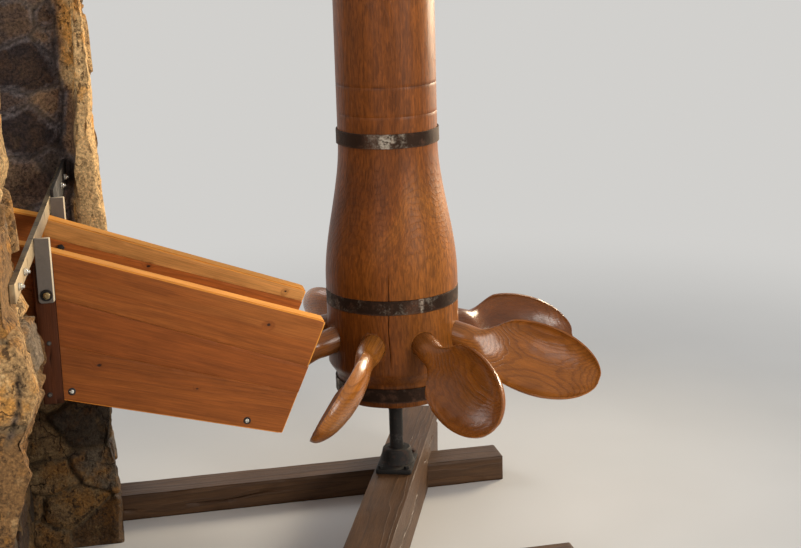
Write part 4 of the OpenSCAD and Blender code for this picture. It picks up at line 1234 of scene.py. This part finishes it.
def pins():
    """The pivot pin under the trunk and the driving spindle on top, both forged round."""
    r, collar, collar_h, tail, shoulder, b = 0.020, 0.040, 0.014, 0.022, 0.026, 0.002
    base, top = TRUNK_TOP + FIT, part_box("drive_spindle")[1].z
    spindle = [(0.004, TRUNK_TOP - 0.2), (tail, TRUNK_TOP - 0.2), (tail, base), (collar - b, base),
               (collar, base + b), (collar, base + collar_h - b), (collar - b, base + collar_h),
               (r + b, base + collar_h), (r, base + collar_h + b), (r, top - 2 * b), (r - 2 * b, top),
               (0.004, top)]
    verts, faces, _ = turned(spindle, (0, 0, 0), UP, 56, 0.006)
    verts[:, :2] *= 1 - 0.02 * np.clip(fbm(verts, 0.03, 3, 5), 0, 1)[:, None]
    piece("spindle_forged", (verts, faces), IRON, "drive_spindle", "wheel", 35)
    low, end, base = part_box("pivot_pin")[0].z, TRUNK_LOW + 0.16, TRUNK_LOW
    pivot = [(0.004, low), (r - 2 * b, low), (r, low + 2 * b), (r, base - 0.060), (shoulder, base - 0.040),
             (shoulder, base - collar_h), (collar - b, base - collar_h), (collar, base - collar_h + b),
             (collar, base - b), (collar - b, base - FIT), (tail, base - FIT), (tail, end), (0.004, end)]
    piece("pivot_forged", turned(pivot, (0, 0, 0), UP, 56, 0.006), IRON, "pivot_pin", "wheel", 35)


# Chute and feed trough

SIDES = ((-1, "near"), (1, "far"))


def top_z(x):
    return OUTLET_TOP[1] + TOP_SLOPE * (OUTLET_TOP[0] - x)


def chute_half(x):
    return mix(OUTLET_GAP / 2, INLET_GAP / 2, (OUTLET_TOP[0] - x) / (OUTLET_TOP[0] - JOINT_X))


def trough_half(_x):
    return INLET_GAP / 2


def round_outlet(verts):
    """Rounds the boards' corners at the outlet, the upper one more than the lower one."""
    edge = unit(np.subtract(OUTLET_TOP, OUTLET_LOW))
    for corner, slope, down, r in ((OUTLET_TOP, TOP_SLOPE, -edge, OUTLET_ROUND),
                                   (OUTLET_LOW, LOW_SLOPE, edge, OUTLET_ROUND * 0.5)):
        basis = np.array([unit((-1, slope)), down]).T
        a, b = np.linalg.solve(basis, (verts[:, [0, 2]] - corner).T)
        near = (a < r) & (b < r)
        da, db = r - a[near], r - b[near]
        pull = np.maximum(da, db) / np.maximum(np.hypot(da, db), 1e-9)
        verts[np.ix_(near, [0, 2])] = corner + np.c_[r - da * pull, r - db * pull] @ basis.T


def board_set(name, node, side, ends, half, splits, tones, seed, blush=(0, 0, 0)):
    """One side of the chute or trough, made up of boards edge to edge. ends gives x and z of the
    lower and upper corner at the wall end and at the wheel end, half gives half the gap between
    the sides at a place, and splits each joint's share of the height at both ends."""
    joint, arris, soft = 0.001, 0.0045, (0.0004, 0.0009)

    def at(end, share):
        x, z = mix(*np.array(ends[end]), share)
        return x, CHUTE_Y + side * (half(x) + BOARD_T / 2), z

    x0, x1 = ends[0][0][0], ends[1][1][0]
    normal = ((half(x0) - half(x1)) / (x1 - x0), side, 0)
    edges = [(0, 0), *splits, (1, 1)]
    parts = []
    for k, (lo, hi) in enumerate(zip(edges[:-1], edges[1:])):
        up = joint if k else 0
        bevels = (soft[k - 1] if k else arris * 0.5, soft[k] if k < len(splits) else arris)
        parts.append(plank(at(0, lo[0] + up), at(1, lo[1] + up), at(1, hi[1]), at(0, hi[0]), normal, BOARD_T,
                           bevels, seed=seed + k, pith=(0.035 + 0.03 * k, 0.3 + 0.25 * k), tone=tones[k],
                           edge=1.0, blush=blush[k]))
    shape = join(parts)
    if ends[1][1] == OUTLET_TOP:
        round_outlet(shape[0])
    piece(name, shape, CHUTE, node)


def floor_boards(name, node, x0, x1, half, seed):
    """Two boards side by side between the side boards, worn smooth and wet."""
    split, gap = -0.08, 0.0004
    parts = []
    for k, (a, a_in, b, b_in) in enumerate(((-1, FIT, split, -gap), (split, gap, 1, -FIT))):
        corners = [(x, CHUTE_Y + t * half(x) + inset, low_z(x) + FLOOR_T / 2)
                   for x, t, inset in ((x0, a, a_in), (x1, a, a_in), (x1, b, b_in), (x0, b, b_in))]
        parts.append(plank(*corners, (LOW_SLOPE, 0, 1), FLOOR_T / math.hypot(1, LOW_SLOPE), (0.0012, 0.0012),
                           seed=seed + k, pith=(0.05, 0.4), tone=0.75, wet=0.7, wave=0.0008))
    piece(name, join(parts), CHUTE, node)


def chute():
    ends = (((JOINT_X, low_z(JOINT_X)), (JOINT_X, top_z(JOINT_X))), (OUTLET_LOW, OUTLET_TOP))
    board_set("chute_boards_near", "chute_near_board", -1, ends, chute_half, [(0.366, 0.365), (0.689, 0.598)],
              (0.62, 0.80, 0.46), 210, (0, 0.14, 0))
    # The far side's boards get lighter tones than the near side's, and its top board the lightest: painted
    # light on the far side's inner face.
    board_set("chute_boards_far", "chute_far_board", 1, ends, chute_half, [(0.33, 0.36), (0.86, 0.89)],
              (0.36, 0.30, -0.20), 220, (0.6, 0.75, 0))
    x0 = JOINT_X - JOINT_GAP
    lift = top_z(JOINT_X) + LOW_SLOPE * JOINT_GAP
    far = lift + LOW_SLOPE * (x0 - FEED_END_X)
    ends = (((FEED_END_X, low_z(FEED_END_X)), (FEED_END_X, far)), ((x0, low_z(x0)), (x0, lift)))
    for side, word in SIDES:
        board_set("trough_boards_" + word, "feed_%s_board" % word, side, ends, trough_half,
                  [(0.36, 0.35), (0.70, 0.71)], (0.6, 0.5, 0.6), 230 + 10 * side)
    floor_boards("chute_floor_boards", "chute_floor", JOINT_X, OUTLET_LOW[0], chute_half, 250)
    floor_boards("trough_floor_boards", "feed_floor", FEED_END_X, x0, trough_half, 260)


# Hanger: battens, straps, bar and their fastenings

BAR_OUT = Vector((math.cos(BAR_TURN), -math.sin(BAR_TURN), 0))


def bar_at(along, out=0.0, z=BAR_TOP - BAR_H / 2):
    """A place on the bar's face towards the wheel, along it from its near end."""
    x = BAR_FACE[0] + (BAR_NEAR_Y - BAR_FACE[1]) * math.tan(BAR_TURN)
    c, s = math.cos(BAR_TURN), math.sin(BAR_TURN)
    return Vector((x + along * s + out * c, BAR_NEAR_Y + along * c - out * s, z))


def flat_bar(name, node, along0, along1, out, thick, height, finish, seed):
    """A straight piece of flat steel on the line of the bar, its front face at out."""
    mid, z0 = out - thick / 2, BAR_TOP - (BAR_H + height) / 2
    z1 = z0 + height
    corners = [bar_at(along, mid, z) for along, z in ((along0, z0), (along1, z0), (along1, z1), (along0, z1))]
    verts, faces, _ = plank(*corners, BAR_OUT, thick, (0.0012, 0.0012), seed=seed, wave=0.0003, wear=0.0002)
    piece(name, (verts, faces), finish, node)


def batten(side, word):
    node = "batten_" + word
    low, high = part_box(node)
    y = (low.y + high.y) / 2
    corners = [(x, y, z) for x, z in ((low.x, low.z), (low.x, high.z), (high.x, high.z), (high.x, low.z))]
    shape = plank(*corners, (0, side, 0), high.y - low.y, (BATTEN_CHAMFER, BATTEN_CHAMFER), seed=270 + side,
                  pith=(0.03, 0.7), tone=0.6, dirt_at_ends=0.5, cracks=[(1, 0.55, -0.1, 0.45, 0.0012, 0.004)])
    piece("batten_sawn_" + word, shape, STAINED, node)


def strap(word):
    """A hanging steel plate with round lower corners and a broad bevel on its front right edge, with a
    highlight painted on the bevel.
    """
    node = "strap_" + word
    low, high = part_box(node)
    width, length, r, r_top, rim = high.x - low.x, high.z - low.z, STRAP_CORNER, 0.002, 0.0009
    outline = round_corner(r, r, r, 180) + round_corner(width - r, r, r, 270)
    outline += round_corner(width - r_top, length - r_top, r_top, 0, 2)
    outline += round_corner(r_top, length - r_top, r_top, 90, 2)
    outline, centre = np.array(outline), np.array([width / 2, length / 2])
    rings, painted_highlight = [], []
    flat = width - STRAP_BEVEL
    # The rings marked worn get the painted highlight on the bevel.
    for y, inset, limit, worn in ((high.y, rim, width, 0), (high.y - rim, 0, width, 1),
                                  (low.y + STRAP_BEVEL, 0, width, 1), (low.y + rim, 0, flat + rim, 1),
                                  (low.y, rim, flat, 1), (low.y, 2 * rim, flat - rim, 0)):
        x, z = (centre + (outline - centre) * (1 - inset / centre)).T
        rings.append(np.c_[low.x + np.minimum(x, limit), np.full(len(x), y), low.z + z])
        painted_highlight.append(worn * (x >= flat))
    look = {"edge": np.append(np.ravel(painted_highlight), [0, 0])}
    piece("strap_plate_" + word, (*close_grid(np.array(rings)), look), STRAP_ZINC, node, sharp=30)


def strap_bolts():
    """A bolt through each strap, batten and board: a dark washer and a low brassy nut outside,
    and a dark head inside the chute."""
    nuts, heads = [], []
    stud = [(0.002, 0), (0.0048, 0), (0.0048, 0.0085), (0.0040, 0.0093), (0.002, 0.0093)]
    for side, word in SIDES:
        low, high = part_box("strap_" + word)
        x, z = (low.x + high.x) / 2, low.z + STRAP_BOLT_UP
        out = Vector((0, side, 0))
        outer = Vector((x, (low if side < 0 else high).y + side * FIT, z))
        inner = Vector((x, CHUTE_Y + side * (chute_half(x + 0.012) - FIT), z))
        nuts += [hex_head(outer + out * WASHER_T, out, 0.0150, 0.0058, 0.3), turned(stud, outer, out, 24),
                 rod((outer - inner).length, 0.006, inner, out)]
        heads += [washer(outer, out, 0.0135), hex_head(inner, -out, 0.0165, 0.0062, 0.1)]
    piece("strap_nuts", join(nuts), BRASSY, "strap_bolts", sharp=35)
    piece("strap_bolt_heads", join(heads), IRON, sharp=35)


def bar_bolts():
    bolt, face = 0.004, BRACKET_T + 2 * FIT
    parts = []
    for k, along in enumerate(WALL_BOLTS):
        at = bar_at(along, FIT)
        parts += [*bolt_end(at, BAR_OUT, bolt, 0.2 + k), rod(0.11, bolt, at, -BAR_OUT)]
    for k, along in enumerate(FAR_BOLTS):
        at = bar_at(along, face)
        parts += [*bolt_end(at, BAR_OUT, bolt, 0.5 + k), rod(face + BAR_T + FIT, bolt, at, -BAR_OUT),
                  hex_head(bar_at(along, -BAR_T - FIT), -BAR_OUT, 0.0124, 0.0052, 0.7 + k)]
    piece("bar_bolt_heads", join(parts), BRIGHT, "bar_bolts", sharp=35)


def screws():
    """The screws of the chute's floor and of the battens, each in a dark seat."""
    lean = (OUTLET_GAP - INLET_GAP) / 2 / (OUTLET_TOP[0] - JOINT_X)
    places = []
    for side, word in SIDES:
        way = Vector((-lean, 1, 0)).normalized() * side
        for x, rise in ((-0.906, 0.024), (-0.506, 0.019)):
            y = CHUTE_Y + side * (chute_half(x) + BOARD_T)
            places.append((Vector((x, y, low_z(x) + rise)), way, 0.0050))
        low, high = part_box("batten_" + word)
        for x, z, r in ((-0.955, 0.732, 0.0034), (-0.947, 0.854, 0.0030)):
            places.append((Vector((x, (low if side < 0 else high).y, z)), Vector((0, side, 0)), r))
    for name, finish, radii in (("board_screws", BRIGHT, (0.0050,)),
                                ("batten_screws", STRAP_ZINC, (0.0034, 0.0030))):
        heads = [pan_screw(at + way * 0.0010, way, r) for at, way, r in places if r in radii]
        piece(name, join(heads), finish, sharp=35)
    seats = []
    for at, way, r in places:
        rim = [(r * 1.8, -0.001), (r * 1.8, 0.0006), (r * 1.6, 0.0012)]
        seats.append(turned([(0.001, -0.001), *rim, (0.001, 0.0012)], at, way))
    piece("screw_seats", join(seats), IRON, sharp=35)


def hanger():
    for side, word in SIDES:
        batten(side, word)
    for _, word in SIDES:
        strap(word)
    flat_bar("bar_flat", "hanger_bar", 0, BAR_LEN, 0, BAR_T, BAR_H, BAR_ZINC, 281)
    flat_bar("bracket_flat", "rear_bracket", BAR_LEN - BRACKET_LAP, BAR_LEN + BRACKET_IN, FIT + BRACKET_T,
             BRACKET_T, BRACKET_H, IRON, 282)
    strap_bolts()
    bar_bolts()
    screws()


# Ground timbers and footstep

def timber(name, node, start, end, width, top, seed, cracks, tone):
    """A squared beam between two places on its middle line, lying on the ground."""
    start, end, up = Vector((*start, 0)), Vector((*end, 0)), Vector((0, 0, top))
    side = (end - start).cross(up).normalized()
    verts, faces, look = plank(start, end, end + up, start + up, side, width, (0.005, 0.007), seed=seed,
                               wave=0.002, wear=0.004, pith=(-width / 2 + 0.01, 0.45), cracks=cracks,
                               tone=tone, step=0.011, dirt_at_ends=0.35, wet=0.3)
    verts[:, 2] = np.maximum(verts[:, 2], 0)
    piece(name, (verts, faces, look), TIMBER, node)


def ground_timbers():
    way = Vector((math.sin(SOLE_TURN), math.cos(SOLE_TURN)))
    cracks = [(1, 0.42, 0.05, 0.62, 0.003, 0.010), (-1, 0.55, 0.2, 0.8, 0.0035, 0.012),
              (1, 0.66, 0.55, 1.1, 0.0025, 0.008)]
    timber("sole_timber", "sole_beam", way * -SOLE_FRONT, way * SOLE_BACK, SOLE_W, SOLE_TOP, 301, cracks, 0.5)
    cracks = [(-1, 0.5, 0.3, 0.95, 0.003, 0.010), (1, 0.45, -0.1, 0.6, 0.003, 0.010)]
    for word, seed in (("front", 311), ("rear", 312)):
        low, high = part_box("sleeper_" + word)
        y = (low.y + high.y) / 2
        timber("sleeper_timber_" + word, "sleeper_" + word, (low.x, y), (high.x, y), high.y - low.y, high.z,
               seed, cracks, 0.65)


def footstep():
    """The cast footstep: a boss with a socket on a base plate, held by four screws."""
    c, s = math.cos(SOLE_TURN), math.sin(SOLE_TURN)
    right, up = Vector((c, -s, 0)), Vector((s, c, 0))
    w, h, r, base, screw_in = FOOTSTEP_R, FOOTSTEP_R * 1.6, 0.008, 0.014, 0.014
    outline = []
    for k, (sx, sy) in enumerate(((1, 1), (-1, 1), (-1, -1), (1, -1))):
        outline += round_corner(sx * (w - r), sy * (h - r), r, 90 * k, 3)
    hole, deep, top = 0.0203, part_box("pivot_pin")[0].z - FIT, SOLE_TOP + FOOTSTEP_H
    boss = [(w - 0.008, SOLE_TOP + 0.004), (w - 0.001, SOLE_TOP + base), (w - 0.004, SOLE_TOP + 0.020),
            (w - 0.011, top - 0.003), (w - 0.014, top), (hole + 0.002, top), (hole, top - 0.002),
            (hole, deep), (0.003, deep)]
    parts = [plate(outline, base, (0, 0, SOLE_TOP), right, up, 0.002),
             turned(boss, (0, 0, 0), UP, 56, 0.005)]
    for sx in (-1, 1):
        for sy in (-1, 1):
            at = Vector((0, 0, SOLE_TOP + base)) + right * sx * (w - screw_in) + up * sy * (h - screw_in)
            parts.append(hex_head(at, UP, 0.014, 0.008, sx + 2 * sy))
    verts, faces, look = join(parts)
    verts = verts + 0.0004 * fbm(verts, 0.02, 2, 320)[:, None]
    piece("footstep_cast", (verts, faces, look), IRON, "footstep_bearing")


# Camera, lights and floor

WORLD_LIGHT = 0.50
WORLD_COLOUR = (0.88, 0.90, 0.92, 1)
BACKDROP = (0.64, 0.63, 0.61, 1)

# Lights: name, place, what it points at, size, power, colour and spread in degrees.
LIGHTS = [("key", (2.7, -4.1, 2.4), (-0.2, -0.3, 0.8), 1.6, 135, (1.0, 0.95, 0.88), 180),
          ("fill", (-3.6, -4.4, 2.2), (-0.3, 0, 0.8), 3.0, 80, (0.97, 0.98, 1.0), 180),
          ("rim", (3.0, 1.9, 1.8), (0, 0, 1.15), 1.2, 28, (1.0, 0.84, 0.60), 56),
          ("back", (-3.4, 3.4, 3.0), (-0.6, 0, 0.8), 2.4, 80, (1, 1, 1), 180)]

# Distance from the shaft at which the lit floor starts to turn into the plain backdrop, and ends.
FLOOR_LIT = 1.2
FLOOR_FADED = 3.8
FLOOR_HALF = 30


def make_camera():
    heading = -CAMERA_AZIMUTH - math.atan(AXIS_PX / (FOCAL_PX / math.cos(CAMERA_PITCH)))
    forward = Vector(polar(math.pi / 2 - heading, math.cos(CAMERA_PITCH), -math.sin(CAMERA_PITCH)))
    right = Vector((math.cos(heading), -math.sin(heading), 0))
    down = forward.cross(right)
    c, s = math.cos(CAMERA_ROLL), math.sin(CAMERA_ROLL)
    right, down = right * c + down * s, down * c - right * s
    cam = bpy.data.cameras.new("camera")
    cam.sensor_fit = "HORIZONTAL"
    cam.sensor_width = SENSOR_W
    cam.lens = FOCAL_PX * SENSOR_W / IMAGE_W
    cam.clip_end = 100
    ob = bpy.data.objects.new("camera", cam)
    bpy.context.scene.collection.objects.link(ob)
    at = Vector(polar(CAMERA_AZIMUTH - math.pi / 2, CAMERA_DISTANCE, CAMERA_HEIGHT))
    turn = Matrix((right, -down, -forward)).transposed()
    ob.matrix_world = Matrix.Translation(at) @ turn.to_4x4()
    bpy.context.scene.camera = ob


def make_light(name, at, to, size, power, colour, spread):
    data = bpy.data.lights.new(name, "AREA")
    data.shape = "SQUARE"
    data.size = size
    data.spread = math.radians(spread)
    data.energy = power
    data.color = colour
    ob = bpy.data.objects.new(name, data)
    bpy.context.scene.collection.objects.link(ob)
    ob.location = at
    ob.rotation_euler = (Vector(to) - Vector(at)).to_track_quat("-Z", "Y").to_euler()


def choose_by_ray(tree, lit, seen, target, share=None):
    """Gives target the shader seen where the camera looks or a reflection does, and the shader
    lit for all other rays. share limits how much of seen comes through."""

    def add(kind, *inputs):
        n = tree.nodes.new(kind)
        for socket, value in zip(n.inputs, inputs):
            tree.links.new(value, socket)
        return n

    rays = tree.nodes.new("ShaderNodeLightPath")
    looks = rays.outputs["Is Camera Ray"]
    steps = [("MAXIMUM", rays.outputs[other]) for other in ("Is Glossy Ray", "Is Transmission Ray")]
    if share:
        steps.append(("MULTIPLY", share))
    for operation, other in steps:
        both = add("ShaderNodeMath", looks, other)
        both.operation = operation
        looks = both.outputs[0]
    tree.links.new(add("ShaderNodeMixShader", looks, lit, seen).outputs[0], target)


def make_stage():
    scene = bpy.context.scene
    scene.view_settings.view_transform = "Standard"
    scene.world = bpy.data.worlds.new("studio")
    scene.world.use_nodes = True
    tree = scene.world.node_tree
    light, backdrop = tree.nodes["Background"], tree.nodes.new("ShaderNodeBackground")
    light.inputs["Color"].default_value = WORLD_COLOUR
    light.inputs["Strength"].default_value = WORLD_LIGHT
    backdrop.inputs["Color"].default_value = BACKDROP
    choose_by_ray(tree, light.outputs[0], backdrop.outputs[0], tree.nodes["World Output"].inputs["Surface"])
    for values in LIGHTS:
        make_light(*values)
    s = Shader("floor_pale")
    place = s.place()
    soft = s.ramp(s.noise(place, 1.3, 3.0), (0.3, (0.61, 0.60, 0.58)), (0.7, (0.65, 0.64, 0.62)))
    corners = [(x * FLOOR_HALF, y * FLOOR_HALF, 0) for x, y in ((-1, -1), (1, -1), (1, 1), (-1, 1))]
    floor = add_mesh("floor", corners, [(0, 1, 2, 3)])
    floor.data.materials.append(s.finish(soft, 0.85, Specular_IOR_Level=0.2))
    far = s.range(s.length(place), FLOOR_LIT, FLOOR_FADED)
    glow = s.node("Emission", {"Color": BACKDROP, "Strength": 1.0})[0]
    choose_by_ray(s.tree, s.bsdf.outputs[0], glow, s.out.inputs["Surface"], far)


make_camera()
make_stage()

# Knots of the boards: place and radius.
BOARD_KNOTS = [((-0.442, -0.706, 0.838), 0.0045), ((-0.840, -0.722, 0.782), 0.0050),
               ((-0.62, -0.715, 0.70), 0.003), ((-0.36, -0.405, 0.835), 0.0035),
               ((-0.70, -0.390, 0.925), 0.004)]

# Finishes: a slot and its material.
LARCH = "trunk_larch", wood(
    "trunk_larch_wood", (0.38, 0.130, 0.018), (0.215, 0.060, 0.0085), (0.090, 0.023, 0.004), 0.0032, 0.20,
    (0.34, 0.50), 0.35, (0.065, 0.019, 0.005), fleck=0.22, shine=0.2)
CHUTE = "chute_larch", wood(
    "chute_larch_wood", (0.66, 0.29, 0.078), (0.295, 0.082, 0.0135), (0.165, 0.041, 0.0075), 0.008, 0.28,
    (0.52, 0.68), 0.12, (0.08, 0.023, 0.007), knots=BOARD_KNOTS, shine=0.18)
STAINED = "dark_larch", wood(
    "stained_larch_wood", (0.135, 0.040, 0.010), (0.092, 0.024, 0.006), (0.045, 0.012, 0.004), 0.008, 0.30,
    (0.50, 0.68), 0.30, (0.022, 0.007, 0.003), shine=0.15)
WET = "wet_oak", wood(
    "wet_blade_wood", (0.56, 0.200, 0.031), (0.37, 0.115, 0.015), (0.15, 0.042, 0.007), 0.006, 0.4,
    (0.28, 0.44), 0.35, coat=0.10, shine=0.35)
TIMBER = "wet_timber", wood(
    "wet_timber_wood", (0.19, 0.096, 0.040), (0.12, 0.058, 0.024), (0.055, 0.026, 0.011), 0.009, 0.5,
    (0.45, 0.7), 0.5, relief=2.0, shine=0.3)
HOOP = "hoop_iron", iron("hoop_iron_dark", (0.040, 0.022, 0.014), (0.44, 0.38, 0.30), 0.35)
IRON = "dark_iron", iron("dark_iron_forged", (0.035, 0.032, 0.030), (0.16, 0.15, 0.14), 0.3)
STRAP_ZINC = "zinc_steel", zinc("zinc_strap", (0.150, 0.124, 0.102), (0.085, 0.070, 0.058), (0.55, 0.70),
                                metallic=0.25)
BAR_ZINC = "zinc_steel", zinc("zinc_bar", (0.54, 0.41, 0.24), (0.15, 0.095, 0.05), (0.42, 0.6),
                              spots=0.85, painted_top_shade=0.95, metallic=0.6)
BRIGHT = "zinc_steel", zinc("zinc_bright", (0.70, 0.67, 0.60), (0.34, 0.29, 0.20), (0.2, 0.35), 0.4)
BRASSY = "zinc_steel", zinc("zinc_yellow", (0.34, 0.24, 0.11), (0.14, 0.09, 0.045), (0.25, 0.4), 0.8)
STONE = "rubble_stone", rubble("rubble_stone_rough")

# Stones of a set place: their middle, half size, tone and hue.
NEAR_BLOCKS = [((-1.06, -1.22, 1.12), (0.14, 0.16, 0.098), 0.46, 0.3),
               ((-1.07, -1.20, 0.935), (0.15, 0.18, 0.085), 0.72, 0.5),
               ((-1.05, -1.19, 0.72), (0.15, 0.15, 0.128), 0.30, 0.1),
               ((-1.09, -1.20, 0.49), (0.16, 0.15, 0.10), 0.16, 0.2)]
# The rear jamb's corner stone gets the palest tone: painted light on that corner.
REAR_BLOCKS = [((-0.80, 0.08, 1.30), (0.085, 0.09, 0.40), 1.0, 0.2)]

# Hoops: node, azimuth of the lap, seed, azimuth of the bright place and half its length. On the upper and
# lower hoop the bright place faces the camera side and is partly a painted highlight.
HOOPS = [("hoop_upper", 128, 31, -12, 0.024), ("hoop_lower", 205, 32, 14, 0.008),
         ("hoop_foot", 75, 33, 40, 0.010), ("hoop_top", 150, 34, 200, 0.020)]

trunk()
for values in HOOPS:
    hoop(*values)
for i in range(BLADES):
    blade(i)
pins()
chute()
hanger()
ground_timbers()
footstep()
jamb("near_jamb_rubble", NEAR_FACE, WALL_NEAR_Y, OPENING[0], 11, "near_jamb", 0.0068, NEAR_BLOCKS,
     shape=near_shape)
jamb("rear_jamb_rubble", REAR_FACE, OPENING[1], WALL_FAR_Y, 23, "rear_jamb", 0.0076, REAR_BLOCKS,
     recessed=True)
sill()
